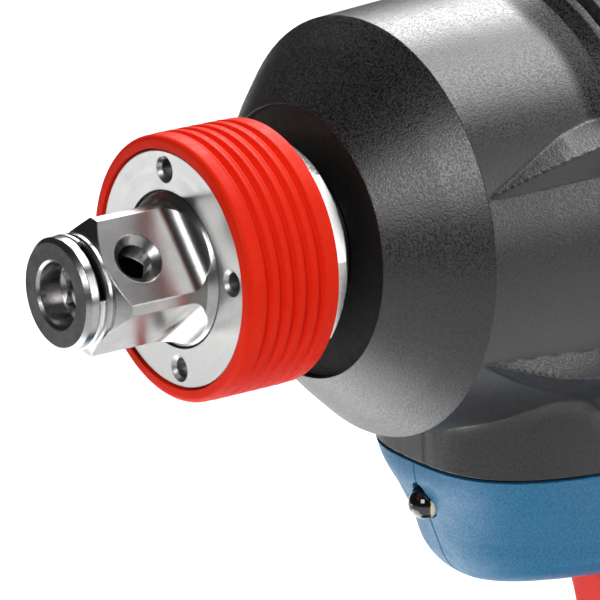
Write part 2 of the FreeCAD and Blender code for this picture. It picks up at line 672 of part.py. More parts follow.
def make_hammer():
    body = turned([
        ("hammer_front", "hammer_bore"), ("hammer_front", "hammer_radius - 1"),
        ("hammer_front + 1", "hammer_radius"), ("hammer_back", "hammer_radius"),
        ("hammer_back", "hammer_rim"), ("cavity_front", "hammer_rim"),
        ("cavity_front", "hammer_hub"), ("hammer_hub_back", "hammer_hub"),
        ("hammer_hub_back", "hammer_bore")])
    ring = turned([("lug_front", "lug_inner"), ("lug_front", "lug_outer"),
                   ("hammer_front + 1", "lug_outer"), ("hammer_front + 1", "lug_inner")])
    lugs = common(ring, block("-lug_half", "lug_half", "lug_front - 1", "hammer_front + 1",
                              "-20", "20"))
    bore = rod("lug_front", "hammer_back", "hammer_bore")
    node("hammer", cut(fuse(body, lugs), bore, cam_grooves(1, -1, 0)))

    def thrust():
        item = doc.addObject("Part::Sphere", "ball")
        return bind(item, Radius="thrust_ball", y="cavity_front + thrust_ball + 0.05",
                    z="spring_mean")

    node("thrust_balls", group(*around(16, 0, thrust)))
    front = "cavity_front + 2 * thrust_ball + 0.15"
    node("thrust_washer", turned([
        (front, "spring_mean - 2.6"), (front, "spring_mean + 2.6"),
        (f"{front} + 1.2", "spring_mean + 2.6"), (f"{front} + 1.2", "spring_mean - 2.6")]))
    node("hammer_spring", coil(f"{front} + 1.4", "carrier_front - 0.1", "spring_mean",
                               "spring_wire", 2.5))


# --- motor ----------------------------------------------------------------------------------

def make_motor():
    sun = shaped(outside_gear(int(size("sun_teeth")), 15))
    shaft = turned([("gear_back - 0.5", "0"), ("gear_back - 0.5", "shaft_radius"),
                    ("rear_bearing_back + 0.5", "shaft_radius"), ("rear_bearing_back + 0.5", "0")])
    node("rotor_shaft", fuse(shaft, sun))
    node("rotor_core", turned([
        ("stator_front + 1", "shaft_radius + 0.02"), ("stator_front + 1", "rotor_radius"),
        ("stator_back - 1", "rotor_radius"), ("stator_back - 1", "shaft_radius + 0.02")]))

    def blade():
        return wide_block("0.6", "fan_front + 1.5", "fan_back", "5", "fan_radius - 0.5")

    hub = turned([
        ("fan_front", "shaft_radius + 0.02"), ("fan_front", "fan_radius"),
        ("fan_front + 1.6", "fan_radius"), ("fan_front + 1.6", "6"), ("fan_back", "6"),
        ("fan_back", "shaft_radius + 0.02")])
    node("cooling_fan", fuse(hub, *around(16, 0, blade)))

    def tooth():
        neck = wide_block("2.4", "stator_front", "stator_back", "stator_bore + 1", "21")
        shoe = wide_block("5.6", "stator_front", "stator_back", "stator_bore - 2",
                          "stator_bore + 1.6")
        return fuse(neck, shoe)

    yoke = turned([("stator_front", "20"), ("stator_front", "stator_radius"),
                   ("stator_back", "stator_radius"), ("stator_back", "20")])
    room = rod("stator_front - 1", "stator_back + 1", "stator_bore")
    node("stator_core", cut(fuse(yoke, *around(6, 0, tooth)), room))

    def winding():
        outer = wide_block("4.6", "stator_front - 2.3", "stator_back + 2.3", "14.6", "19.2")
        slot = wide_block("2.5", "stator_front - 0.1", "stator_back + 0.1", "14", "20")
        return cut(outer, slot)

    node("stator_windings", group(*around(6, 0, winding)))
    node("motor_board", turned([("board_front", "11.2"), ("board_front", "20"),
                                ("board_back", "20"), ("board_back", "11.2")]))


# --- housing --------------------------------------------------------------------------------

HANDLE = [("-46", "88.5", "19.5", "17.2"), ("-80", "90.5", "19", "16.8"),
          ("-110", "94", "19.5", "17.2"), ("-140", "97.5", "21", "18.5"),
          ("-158", "99", "25", "22")]
SCREW_SPOTS = [("53", "-37", "14"), ("100", "-38", "9.2"), ("97.5", "-95", "15.2"),
               ("98.5", "-128", "16.6"), ("123.5", "-165", "35.6")]


def shrunk(sections, wall):
    """The same level ovals with a wall's thickness taken off."""
    return [(level, middle, f"{length} - {wall}", f"{width} - {wall}")
            for level, middle, length, width in sections]


def barrel_outline(front_bore):
    return [
        ("barrel_front", front_bore), ("barrel_front", "barrel_radius - 0.6"),
        ("barrel_front + 0.6", "barrel_radius"), ("110", "barrel_radius"),
        ("barrel_back", "barrel_end"), ("barrel_back", front_bore)]


def make_housing():
    outside = fuse(turned(barrel_outline("0")), oval_loft(NECK_SECTIONS), oval_loft(HANDLE),
                   soft_block("foot_half", "foot_front", "foot_back", "foot_bottom - foot_round",
                              "foot_top", "foot_round"))
    motor_room = turned([
        ("barrel_front - 1", "0"), ("barrel_front - 1", "case_radius + 0.05"),
        ("barrel_front + 2.6", "case_radius + 0.05"), ("barrel_front + 2.6", "barrel_inner"),
        ("88", "barrel_inner"), ("88", "rib_bore"), ("90", "rib_bore"), ("90", "barrel_inner"),
        ("105", "barrel_inner"), ("105", "rib_bore"), ("107.5", "rib_bore"),
        ("107.5", "barrel_inner - 0.5"), ("barrel_back + 1", "barrel_inner - 0.5"),
        ("barrel_back + 1", "0")])
    neck_room = common(oval_loft(shrunk(NECK_SECTIONS, "wall")),
                       wide_block("30", "0", "140", "-44.5", "-20"))
    handle_room = oval_loft(shrunk(HANDLE, "wall"))
    foot_room = wide_block("foot_half - wall", "foot_front + wall", "foot_back - wall",
                           "foot_bottom - 10", "foot_top - wall")
    below = wide_block("50", "0", "150", "foot_bottom - 20", "foot_bottom")
    front_way = wide_block("tower_half + 0.5", "foot_front - 1", "foot_front + 5",
                           "foot_bottom - 1", "tower_top + 0.5")
    skirt_room = wide_block("30", "0", "barrel_front", "chin_top", "0")
    trigger_way = wide_block("trigger_half + 0.5", "55", "switch_front - 0.3",
                             "trigger_bottom - 0.8", "trigger_top + 0.4")
    lever_way = cross_rod("-30", "30", "4.3", "lever_station", "lever_level")
    lamp_way = clocked_lamp("lamp_radius + 0.1", "-3", "7")
    panel_way = wide_block("14.3", "28.7", "58.3", "foot_top - 1.6", "foot_top + 1")
    button_way = post("0", "44", "foot_top - 5", "foot_top", "5.4")
    insert_way = cross_rod("foot_half - insert_depth - 0.1", "foot_half + 1",
                           "insert_radius + 0.01", "insert_station", "insert_level")
    clip_hole = cross_rod("-foot_half - 1", "-foot_half + 9", "1.5", "66", "-162")
    hollow = cut(outside, motor_room, neck_room, handle_room, foot_room, below)

    ceiling = wide_block("foot_half - wall + 0.2", "foot_front + wall - 0.2",
                         "foot_back - wall + 0.2", "tower_top + 0.5", "tower_top + 2")
    stem = oval_loft(shrunk([("-164", "99", "25", "22"), ("-154", "99", "25", "22")], "wall + 4"))
    cable_way = wide_block("8.5", "116", "121", "tower_top - 1", "tower_top + 3")
    walls = [block(f"{low}", f"{high}", "foot_front + wall - 0.2", "foot_back - wall + 0.2",
                   "foot_bottom", "tower_top + 0.6")
             for low, high in (("tower_half + 0.4", "foot_half - wall + 0.2"),
                               ("-foot_half + wall - 0.2", "-tower_half - 0.4"))]
    rails = [block(f"{low}", f"{high}", "foot_front + wall - 0.2", "tower_back + 1",
                   "rail_bottom", "rail_top")
             for low, high in (("rail_half", "tower_half + 0.5"),
                               ("-tower_half - 0.5", "-rail_half"))]
    posts = [cross_rod(f"-({half})", half, "3.6", y, z) for y, z, half in SCREW_SPOTS]
    clip_boss = cross_rod("-foot_half + 1", "-tower_half - 0.5", "3.4", "66", "-162")
    cap_posts = around(4, 45, lambda: rod("109", "barrel_back - 0.2", "3", z="cap_screw_pitch"))
    cap_holes = around(4, 45, lambda: rod("108", "barrel_back + 1", "1.2",
                                          z="cap_screw_pitch"))
    screw_holes = []
    for y, z, half in SCREW_SPOTS:
        screw_holes.append(cross_rod(f"-({half}) - 12", f"({half}) - 3", "1.4", y, z))
        screw_holes.append(cross_rod(f"-({half}) - 20", f"-({half}) + 2.5", "3", y, z))
    filled = fuse(hollow, cut(ceiling, stem, cable_way), *walls, *rails, *posts, clip_boss, *cap_posts)
    whole = cut(filled, skirt_room, trigger_way, lever_way, lamp_way, panel_way, button_way,
                insert_way, clip_hole, front_way, *cap_holes, *screw_holes)
    for label, low, high in (("housing_left", "0", "60"), ("housing_right", "-60", "0")):
        half = block(low, high, "-20", "160", "-230", "60")
        node(label, common(whole, half))

    def housing_screw(spot):
        y, z, half = spot
        shank = cross_rod(f"-({half}) + 1", f"({half}) - 3.5", "1.35", y, z)
        head = cross_rod(f"-({half}) + 0.4", f"-({half}) + 2.4", "2.8", y, z)
        drive = cross_rod(f"-({half}) - 1", f"-({half}) + 1.4", "1.1", y, z)
        return cut(fuse(shank, head), drive)

    node("housing_screws", group(*[housing_screw(spot) for spot in SCREW_SPOTS]))


def make_grip():
    skin = oval_loft([("-62", "88.6", "20.6", "17.6"), ("-80", "90.5", "20.4", "17.8"),
                      ("-110", "94", "20.9", "18.2"), ("-140", "97.5", "22.2", "19.5"),
                      ("-146", "98", "22.9", "20.2")])
    core = oval_loft([(level, middle, f"{length} + 0.02", f"{width} + 0.02")
                      for level, middle, length, width in HANDLE])
    window = wide_block("trigger_half + 2", "50", "78", "trigger_bottom - 3", "-50")
    sleeve = cut(skin, core, window)
    for label, low, high in (("grip_left", "0", "60"), ("grip_right", "-60", "0")):
        node(label, common(sleeve, block(low, high, "-20", "160", "-230", "60")))


def make_rear_cap():
    dome = turned([
        ("cap_front", "barrel_end - 2.6"), ("cap_front", "barrel_end - 0.1"),
        ("cap_front + 6", "27.6"), ("cap_front + 10", "25.2"), ("cap_back - 0.9", "21"),
        ("cap_back", "16"), ("cap_back", "0"), ("cap_back - 2.6", "0"),
        ("cap_back - 2.6", "6"), ("rear_bearing_back + 0.1", "6"),
        ("rear_bearing_back + 0.1", "small_bearing + 0.02"),
        ("rear_bearing_front", "small_bearing + 0.02"), ("rear_bearing_front", "10.4"),
        ("cap_back - 2.6", "10.4"), ("cap_back - 2.9", "18"), ("cap_front + 8.5", "22.6"),
        ("cap_front + 5", "25.2")])
    pillars = around(4, 45, lambda: rod("cap_front", "cap_front + 9", "3.2",
                                        z="cap_screw_pitch"))
    outer = turned([
        ("cap_front", "0"), ("cap_front", "barrel_end - 0.1"), ("cap_front + 6", "27.6"),
        ("cap_front + 10", "25.2"), ("cap_back - 0.9", "21"), ("cap_back", "16"),
        ("cap_back", "0")])
    holes = around(4, 45, lambda: fuse(
        rod("cap_front - 1", "cap_front + 12", "1.5", z="cap_screw_pitch"),
        rod("cap_front + 4.5", "cap_front + 14", "2.9", z="cap_screw_pitch")))

    def vent():
        return wide_block("1.1", "cap_front + 2.5", "cap_front + 8", "20", "34")

    vents = [clocked(vent(), 90 + side + offset) for side in (0, 180)
             for offset in (-24, -16, -8, 0, 8, 16, 24)]
    node("rear_cap", cut(fuse(dome, common(fuse(*pillars), outer)), *holes, *vents))

    def cap_screw():
        shank = rod("109.5", "cap_front + 4.6", "1.15", z="cap_screw_pitch")
        head = rod("cap_front + 4.55", "cap_front + 6.6", "2.6", z="cap_screw_pitch")
        drive = rod("cap_front + 5.6", "cap_front + 8", "1.1", z="cap_screw_pitch")
        return cut(fuse(shank, head), drive)

    node("cap_screws", group(*around(4, 45, cap_screw)))


# --- lamp, trigger, lever and switch --------------------------------------------------------

def clocked_lamp(radius, outer, inner):
    """Cylinder on the lamp's axis, from a depth outside the chin to a depth inside it."""
    item = doc.addObject("Part::Cylinder", "lamp_axis")
    tilt = math.radians(SIZES["lamp_tilt"])
    inward = Vector(0, math.cos(tilt), math.sin(tilt))
    item.Placement = Placement(Vector(), Rotation(Vector(0, 0, 1), inward))
    bind(item, Radius=radius, Height=f"({inner}) - ({outer})",
         y=f"lamp_station + ({outer}) * cos(lamp_tilt * 1 deg)",
         z=f"lamp_level + ({outer}) * sin(lamp_tilt * 1 deg)")
    return item


def make_lamp():
    dome = doc.addObject("Part::Sphere", "dome")
    bind(dome, Radius="lamp_radius", y="lamp_station", z="lamp_level")
    node("led_lens", fuse(dome, clocked_lamp("lamp_radius", "0", "5")))
    board = clocked_lamp("1.9", "5.4", "6.6")
    chip = clocked_lamp("1.1", "5.1", "5.5")
    node("led_board", fuse(board, chip))


def make_trigger():
    finger = side_pad([
        ("60.7", "trigger_top"), ("62.4", "-56"), ("65.4", "-62.5"), ("66.4", "-69"),
        ("65.2", "-75.5"), ("63.6", "-80"), ("64.6", "trigger_bottom"),
        ("trigger_back", "trigger_bottom"), ("trigger_back", "trigger_top")],
        "2 * trigger_half")
    plunger = rod("trigger_back - 1", "switch_front + 0.5", "2", z="-68")
    node("trigger", fuse(finger, plunger))
    box = wide_block("switch_half", "switch_front", "switch_back", "-82", "-55")
    bore = rod("switch_front - 1", "switch_front + 9", "2.4", z="-68")
    node("trigger_switch", cut(box, bore))
    spring = coil("trigger_back + 0.2", "switch_front - 0.2", "3.2", "0.35", 4)
    spring.Placement.Base.z += -68
    node("trigger_spring", spring)
    bar = cross_rod("-lever_half", "lever_half", "4", "lever_station", "lever_level")
    flats = wide_block("lever_half - 3", "lever_station - 6", "lever_station - 3",
                       "lever_level - 6", "lever_level + 6")
    node("direction_lever", cut(bar, flats))


def make_control():
    plate = wide_block("14", "29", "58", "foot_top - 1.5", "foot_top - 0.1")
    hole = post("0", "44", "foot_top - 3", "foot_top + 1", "5.3")
    node("control_panel", cut(plate, hole))
    node("speed_button", post("0", "44", "foot_top - 2.3", "foot_top + 0.4", "5"))
    board = wide_block("20", "80", "120", "tower_top + 2.3", "tower_top + 3.8")
    holder = wide_block("22", "tower_back + 1.4", "118.5", "rail_bottom - 2", "tower_top + 0.3")
    spine = wide_block("8", "118.8", "119.8", "tower_top - 4", "tower_top + 3")
    bridge = wide_block("8", "118", "119.8", "tower_top - 4", "tower_top - 1")
    blades = [block(f"{x} - blade_half", f"{x} + blade_half", "99", "tower_back + 2",
                    "-169.5", "-163.5") for x in (-15, -5, 5, 15)]
    node("controller", group(board, fuse(holder, bridge, *blades), spine))


# --- clip and threaded insert on the foot -----------------------------------------------------

def make_foot_fittings():
    inner = "-foot_half - 0.05"
    flange_out = "-foot_half - 0.05 - clip_thick"
    arm_in = "-foot_half - 0.05 - clip_thick - clip_gap"
    arm_out = "-foot_half - 0.05 - 2 * clip_thick - clip_gap"
    flange = block(flange_out, inner, "52", "76", "clip_bottom", "clip_top")
    bend = block(arm_out, inner, "52", "53.5", "clip_bottom", "clip_top")
    arm = block(arm_out, arm_in, "52", "114", "clip_bottom", "clip_top")
    hole = cross_rod("-foot_half - 20", "-foot_half + 1", "2.2", "66", "-162")
    node("belt_clip", cut(fuse(flange, bend, arm), hole))
    shank = cross_rod("-foot_half - 0.5 - clip_thick", "-foot_half + 8", "1.45", "66", "-162")
    head = cross_rod("-foot_half - 4", "-foot_half - 0.1 - clip_thick", "3.4", "66", "-162")
    slot = cross_rod("-foot_half - 5", "-foot_half - 2.6", "1.3", "66", "-162")
    node("belt_clip_screw", cut(fuse(shank, head), slot))
    body = cross_rod("foot_half - insert_depth", "foot_half", "insert_radius", "insert_station",
                     "insert_level")
    thread = cross_rod("foot_half - insert_depth - 1", "foot_half + 1", "insert_bore",
                       "insert_station", "insert_level")
    node("accessory_insert", cut(body, thread))


# --- battery --------------------------------------------------------------------------------

def make_battery():
    shell = soft_block("battery_half", "battery_front", "battery_back", "base_bottom",
                       "battery_top", "battery_round")
    room = wide_block("battery_half - battery_wall", "battery_front + battery_wall",
                      "battery_back - battery_wall", "base_bottom + battery_wall",
                      "battery_top - battery_wall")
    tower = wide_block("tower_half", "tower_front", "tower_back", "battery_top - 1", "tower_top")
    grooves = [block(low, high, "tower_front - 1", "tower_back + 1", "rail_bottom - 0.4",
                     "rail_top + 0.4")
               for low, high in (("rail_half - 0.3", "tower_half + 1"),
                                 ("-tower_half - 1", "-rail_half + 0.3"))]
    slots = [block(f"{x} - slot_half", f"{x} + slot_half", "97", "tower_back + 1", "-171",
                   "-162.5") for x in (-15, -5, 5, 15)]
    latch_way = wide_block("13.3", "battery_front - 1", "33", "-184.3", "battery_top + 0.1")
    pocket = wide_block("15.3", "battery_front + 0.5", "35", "-185.8", "battery_top - 1")
    hollow = fuse(cut(shell, room), cut(tower, *grooves, *slots), pocket)
    case = cut(hollow, latch_way)
    upper = common(case, wide_block("60", "0", "150", "battery_split + 0.1", "-150"))
    lower = common(case, wide_block("60", "0", "150", "-220", "battery_split"))
    node("battery_case_upper", upper)
    node("battery_case_lower", lower)
    cells = [cross_rod("-cell_half", "cell_half", "cell_radius",
                       f"origin_station + {index} * cell_pitch", "cell_level")
             for index in (-2, -1, 0, 1, 2)]
    node("battery_cells", group(*cells))
    clips = [block(f"{x} + {low}", f"{x} + {high}", "98", "108", "-170", "-163.5")
             for x in (-15, -5, 5, 15) for low, high in ((-1.7, -1.0), (1.0, 1.7))]
    node("battery_contacts", group(*clips))
    button = wide_block("13", "battery_front - 1.3", "30", "-181", "-175")
    face = wide_block("11", "battery_front - 1.9", "battery_front", "-180.2", "-175.8")
    tongue = wide_block("6", "26", "29.5", "-176", "-169.5")
    node("battery_latch", fuse(button, face, tongue))


make_anvil()
make_anvil_fittings()
make_collar()
make_cover()
make_case()
make_bearings()
make_gears()
make_cam()
make_hammer()
make_motor()
make_housing()
make_grip()
make_rear_cap()
make_lamp()
make_trigger()
make_control()
make_foot_fittings()
make_battery()

doc.recompute()
faults = [f"{item.Name} ({item.Label}): {item.State}" for item in doc.Objects
          if "Invalid" in item.State or "Error" in item.State]
for item in NODES:
    if item.Shape.isNull() or not item.Shape.isValid():
        faults.append(f"{item.Label}: bad shape")
if faults:
    raise RuntimeError("; ".join(faults))

os.makedirs("parts", exist_ok=True)
for item in NODES:
    item.Shape.exportStep(f"parts/{item.Label}.step")
    box = item.Shape.BoundBox
    print(f"{item.Label}: {len(item.Shape.Solids)} solids, {item.Shape.Volume:.0f} mm3, "
          f"{box.XLength:.1f} x {box.YLength:.1f} x {box.ZLength:.1f}")
print(len(NODES), "nodes")
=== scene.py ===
import math

import bmesh
import bpy
import numpy as np
from mathutils import Matrix, Vector


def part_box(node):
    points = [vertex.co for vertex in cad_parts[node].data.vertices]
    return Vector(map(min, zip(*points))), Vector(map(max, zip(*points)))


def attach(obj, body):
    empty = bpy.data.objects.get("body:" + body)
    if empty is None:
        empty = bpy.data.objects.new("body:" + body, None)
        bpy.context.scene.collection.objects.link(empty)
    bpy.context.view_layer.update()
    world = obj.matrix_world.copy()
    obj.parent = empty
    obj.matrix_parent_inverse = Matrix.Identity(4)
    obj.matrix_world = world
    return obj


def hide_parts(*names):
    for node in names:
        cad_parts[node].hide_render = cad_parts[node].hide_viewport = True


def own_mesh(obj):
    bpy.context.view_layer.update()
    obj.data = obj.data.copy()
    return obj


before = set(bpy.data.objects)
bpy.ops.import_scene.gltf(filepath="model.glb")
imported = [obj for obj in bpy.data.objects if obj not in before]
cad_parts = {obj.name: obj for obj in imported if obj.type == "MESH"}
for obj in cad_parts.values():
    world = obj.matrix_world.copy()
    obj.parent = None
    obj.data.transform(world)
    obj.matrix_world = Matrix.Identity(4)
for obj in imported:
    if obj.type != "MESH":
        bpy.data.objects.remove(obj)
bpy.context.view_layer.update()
scene = bpy.context.scene

# Shapes are worked out in the drive frame, in millimetres: x to the tool's left, station
# rearwards from the collar's front, height from the drive axis. Clock angles go from
# straight up towards +x. to_row() turns them into metres in the frame of the CAD.

ORIGIN_STATION = 75.0
AXIS_HEIGHT = 210.0
LAMP_STATION, LAMP_LEVEL = 37.1, -36.9


def to_row(points):
    """Points of the drive frame in millimetres, as metres in the frame of the CAD."""
    points = np.asarray(points, float)
    return (points + np.array([0, -ORIGIN_STATION, AXIS_HEIGHT])) / 1000


# --- mesh helpers ---------------------------------------------------------------------------

def build(name, points, faces, sharp=35):
    """Mesh object from points of the drive frame, with its faces turned outwards."""
    mesh = bpy.data.meshes.new(name)
    mesh.from_pydata([tuple(p) for p in to_row(points)], [], faces)
    mesh.validate()
    edit = bmesh.new()
    edit.from_mesh(mesh)
    bmesh.ops.recalc_face_normals(edit, faces=edit.faces)
    edit.to_mesh(mesh)
    edit.free()
    smooth(mesh, sharp)
    item = bpy.data.objects.new(name, mesh)
    scene.collection.objects.link(item)
    return item


def smooth(mesh, sharp):
    """Smooth shading, with edges sharper than an angle in degrees kept crisp."""
    mesh.polygons.foreach_set("use_smooth", [True] * len(mesh.polygons))
    mesh.set_sharp_from_angle(angle=math.radians(sharp))


def grid_faces(rows, columns, wrap_rows=False, wrap_columns=True):
    """Quads over a grid of points that may close on itself in either direction."""
    faces = []
    for i in range(rows if wrap_rows else rows - 1):
        for j in range(columns if wrap_columns else columns - 1):
            a, b = i * columns, (i + 1) % rows * columns
            k = (j + 1) % columns
            faces.append((a + j, b + j, b + k, a + k))
    return faces


def tube(name, rings, sharp=35):
    """Closed skin through a list of closed rings, with a flat face at each end."""
    rings = np.asarray(rings, float)
    count, around = rings.shape[:2]
    faces = grid_faces(count, around)
    faces.append(tuple(range(around))[::-1])
    faces.append(tuple((count - 1) * around + k for k in range(around)))
    return build(name, rings.reshape(-1, 3), faces, sharp)


def loop_tube(name, rings, sharp=35):
    """Skin through rings where the last ring joins the first."""
    rings = np.asarray(rings, float)
    faces = grid_faces(rings.shape[0], rings.shape[1], wrap_rows=True)
    return build(name, rings.reshape(-1, 3), faces, sharp)


def rounded(corners, closed=False, steps=5):
    """Polyline whose corners, given as (a, b, radius), are turned into arcs."""
    out, count = [], len(corners)
    for i, (a, b, radius) in enumerate(corners):
        here = np.array([a, b], float)
        if radius == 0 or (not closed and i in (0, count - 1)):
            out.append(here)
            continue
        before = np.array(corners[i - 1][:2], float) - here
        after = np.array(corners[(i + 1) % count][:2], float) - here
        lb, la = np.linalg.norm(before), np.linalg.norm(after)
        before, after = before / lb, after / la
        half = math.acos(np.clip(before @ after, -1, 1)) / 2
        reach = min(radius / math.tan(half), 0.49 * lb, 0.49 * la)
        radius = reach * math.tan(half)
        bisector = (before + after) / np.linalg.norm(before + after)
        centre = here + bisector * radius / math.sin(half)
        first, last = here + before * reach - centre, here + after * reach - centre
        turn = math.atan2(first[0] * last[1] - first[1] * last[0], first @ last)
        for k in range(steps + 1):
            c, s = math.cos(turn * k / steps), math.sin(turn * k / steps)
            out.append(centre + np.array([first[0] * c - first[1] * s,
                                          first[0] * s + first[1] * c]))
    return np.array(out)


def polar(profile, clocks):
    """Rings of the outline (station, radius) turned round the drive axis."""
    profile = np.asarray(profile, float)
    s, r = profile[:, 0][:, None], profile[:, 1][:, None]
    c = np.radians(clocks)[None, :]
    return np.stack([r * np.sin(c), s + 0 * c, r * np.cos(c)], -1)


def lathe(name, profile, count, sharp):
    """Ring-shaped solid whose closed outline is turned round the drive axis."""
    return loop_tube(name, polar(profile, np.arange(count) * 360 / count), sharp)


def barrel_solid(name, profile, count):
    """Solid whose open outline starts and ends close to the axis."""
    return tube(name, polar(profile, np.arange(count) * 360 / count))


def oval(z, middle, length, width, power, count):
    """Level superellipse ring; its first point is at the front."""
    t = np.arange(count) * 2 * math.pi / count
    c, s = np.cos(t), np.sin(t)
    x = width * np.sign(s) * np.abs(s) ** (2 / power)
    y = middle - length * np.sign(c) * np.abs(c) ** (2 / power)
    return np.stack([x, y, np.full(count, z)], -1)


def slab(z, half, front, back, corner):
    """Level rounded rectangle."""
    corner = max(0.05, min(corner, half - 0.05, (back - front) / 2 - 0.05))
    ring = rounded([(half, front, corner), (half, back, corner), (-half, back, corner),
                    (-half, front, corner)], closed=True, steps=10)
    return np.column_stack([ring, np.full(len(ring), z)])


def soft_slab(name, low, high, half, front, back, corner, low_round, high_round):
    """Box with upright rounded corners and rounded lower and upper edges."""
    quarter = [math.pi / 2 * k / 6 for k in range(7)]
    edges = ([(low, low_round, a) for a in quarter]
             + [(high, -high_round, a) for a in reversed(quarter)])
    rings = []
    for level, radius, a in edges:
        inset = abs(radius) * (1 - math.sin(a))
        rings.append(slab(level + radius * (1 - math.cos(a)), half - inset, front + inset,
                          back - inset, corner - inset / 2))
    return tube(name, rings)


def box(name, x0, x1, s0, s1, z0, z1):
    """Plain box between two sides, stations and levels."""
    corners = [(x, s, z) for z in (z0, z1) for x, s in ((x0, s0), (x1, s0), (x1, s1), (x0, s1))]
    return build(name, corners, [(0, 3, 2, 1), (4, 5, 6, 7), (0, 1, 5, 4), (1, 2, 6, 5),
                                 (2, 3, 7, 6), (3, 0, 4, 7)])


def peg(name, start, end, radius, count=32):
    """Round bar between two points of the drive frame."""
    start, end = np.array(start, float), np.array(end, float)
    along = (end - start) / np.linalg.norm(end - start)
    side = np.cross(along, [0, 0, 1] if abs(along[2]) < 0.9 else [1, 0, 0])
    side /= np.linalg.norm(side)
    up = np.cross(along, side)
    t = np.arange(count) * 2 * math.pi / count
    ring = np.outer(np.cos(t), side) + np.outer(np.sin(t), up)
    return tube(name, [start + ring * radius, end + ring * radius])


def apply_modifiers(item):
    """Makes what the modifiers show the item's own mesh."""
    graph = bpy.context.evaluated_depsgraph_get()
    mesh = bpy.data.meshes.new_from_object(item.evaluated_get(graph))
    item.modifiers.clear()
    item.data = mesh


def combine(item, others, operation, sharp=35):
    """Adds solids to a solid, or cuts them from it, one at a time."""
    for other in others:
        step = item.modifiers.new("combine", "BOOLEAN")
        step.operation, step.solver, step.object = operation, "MANIFOLD", other
        apply_modifiers(item)
        bpy.data.objects.remove(other)
    smooth(item.data, sharp)


def soften(item, width):
    """Rounds the sharp edges of a solid by a width in millimetres."""
    step = item.modifiers.new("soften", "BEVEL")
    step.width, step.segments, step.limit_method = width / 1000, 2, "ANGLE"
    step.angle_limit, step.harden_normals = math.radians(40), False
    apply_modifiers(item)
    smooth(item.data, 45)


def place(item, material, body, slot, *nodes):
    """Gives a finished piece its material and body, and hides the CAD nodes it stands in for."""
    item.data.materials.clear()
    item.data.materials.append(material)
    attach(item, body)
    if nodes:
        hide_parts(*nodes)


# --- materials ------------------------------------------------------------------------------

class Look:
    """Node tree of one material, with short calls for its nodes."""

    def __init__(self, name):
        self.material = bpy.data.materials.new(name)
        self.material.use_nodes = True
        self.tree = self.material.node_tree
        self.shader = self.tree.nodes["Principled BSDF"]
        self.place = self.add("ShaderNodeTexCoord").outputs["Object"]

    def fill(self, item, values):
        """Sets or links a node's inputs, named with _ in place of spaces."""
        for key, value in values.items():
            socket = item.inputs[key.replace("_", " ")]
            if isinstance(value, bpy.types.NodeSocket):
                self.tree.links.new(value, socket)
            else:
                socket.default_value = value

    def add(self, kind, settings=None, **values):
        item = self.tree.nodes.new(kind)
        for key, value in (settings or {}).items():
            setattr(item, key, value)
        self.fill(item, values)
        return item

    def noise(self, scale, detail=3.0, rough=0.5, place=None, stretch=None):
        """Noise value; stretch makes it finer or coarser along each axis."""
        place = place or self.place
        if stretch:
            place = self.add("ShaderNodeMapping", Vector=place, Scale=stretch).outputs[0]
        return self.add("ShaderNodeTexNoise", Vector=place, Scale=scale, Detail=detail,
                        Roughness=rough).outputs[0]

    def mix(self, share, first, second):
        """Value between two values, by share."""
        item = self.add("ShaderNodeMix", {"data_type": "FLOAT"})
        item.inputs[0].default_value = share
        self.tree.links.new(first, item.inputs[2])
        self.tree.links.new(second, item.inputs[3])
        return item.outputs[0]

    def ramp(self, value, stops):
        """Colour between the stops (position, colour)."""
        item = self.add("ShaderNodeValToRGB", Fac=value)
        band = item.color_ramp
        while len(band.elements) < len(stops):
            band.elements.new(0.5)
        for element, (at, colour) in zip(band.elements, stops):
            element.position = at
            element.color = (*colour, 1)
        return item.outputs[0]

    def spread(self, value, low, high, from_low=0.3, from_high=0.7):
        """Value moved from the range from_low to from_high into low to high."""
        item = self.add("ShaderNodeMapRange", Value=value)
        for key, number in (("From Min", from_low), ("From Max", from_high), ("To Min", low),
                            ("To Max", high)):
            item.inputs[key].default_value = number
        return item.outputs[0]

    def bump(self, height, strength, distance, normal=None):
        item = self.add("ShaderNodeBump", Height=height, Strength=strength, Distance=distance)
        if normal is not None:
            self.tree.links.new(normal, item.inputs["Normal"])
        return item.outputs[0]

    def bevel(self, radius):
        """Normal that rounds the edges of the shape by a radius in metres."""
        return self.add("ShaderNodeBevel", {"samples": 4}, Radius=radius).outputs[0]

    def wire(self, **values):
        """Fills in the shader and hands over the finished material."""
        self.fill(self.shader, values)
        return self.material

    def axis_distance(self):
        """Distance from the drive axis, as a coordinate for turned surfaces."""
        split = self.add("ShaderNodeSeparateXYZ", Vector=self.place)
        up = self.add("ShaderNodeMath", {"operation": "SUBTRACT"})
        self.tree.links.new(split.outputs[2], up.inputs[0])
        up.inputs[1].default_value = AXIS_HEIGHT / 1000
        both = self.add("ShaderNodeCombineXYZ", X=split.outputs[0], Y=up.outputs[0])
        return self.add("ShaderNodeVectorMath", {"operation": "LENGTH"},
                        Vector=both.outputs[0]).outputs["Value"], split


SOFT_EDGE, STEEL_EDGE, DRIVE_EDGE = 0.0002, 0.00018, 0.00022


def plastic(name, dark, light, rough, grain, depth, speckle=0.5, specular=0.5, contrast=0.15,
            relief=0.0001, sparkle=0.0):
    """Moulded plastic: fine sparked grain with lighter tops, and slow changes of tone."""
    look = Look(name)
    fine = look.noise(grain, 2.0, 0.55)
    slow = look.noise(60.0, 3.0)
    tone = look.mix(speckle, slow, fine)
    colour = look.ramp(tone, [(0.5 - contrast, dark), (0.5 + contrast, light)])
    if sparkle:
        gloss = look.spread(fine, rough - sparkle, rough + sparkle, 0.38, 0.62)
    else:
        gloss = look.spread(look.noise(900.0, 2.0), rough - 0.06, rough + 0.08)
    return look.wire(Base_Color=colour, Roughness=gloss,
                     Normal=look.bump(fine, depth, relief, look.bevel(SOFT_EDGE)),
                     Specular_IOR_Level=specular)


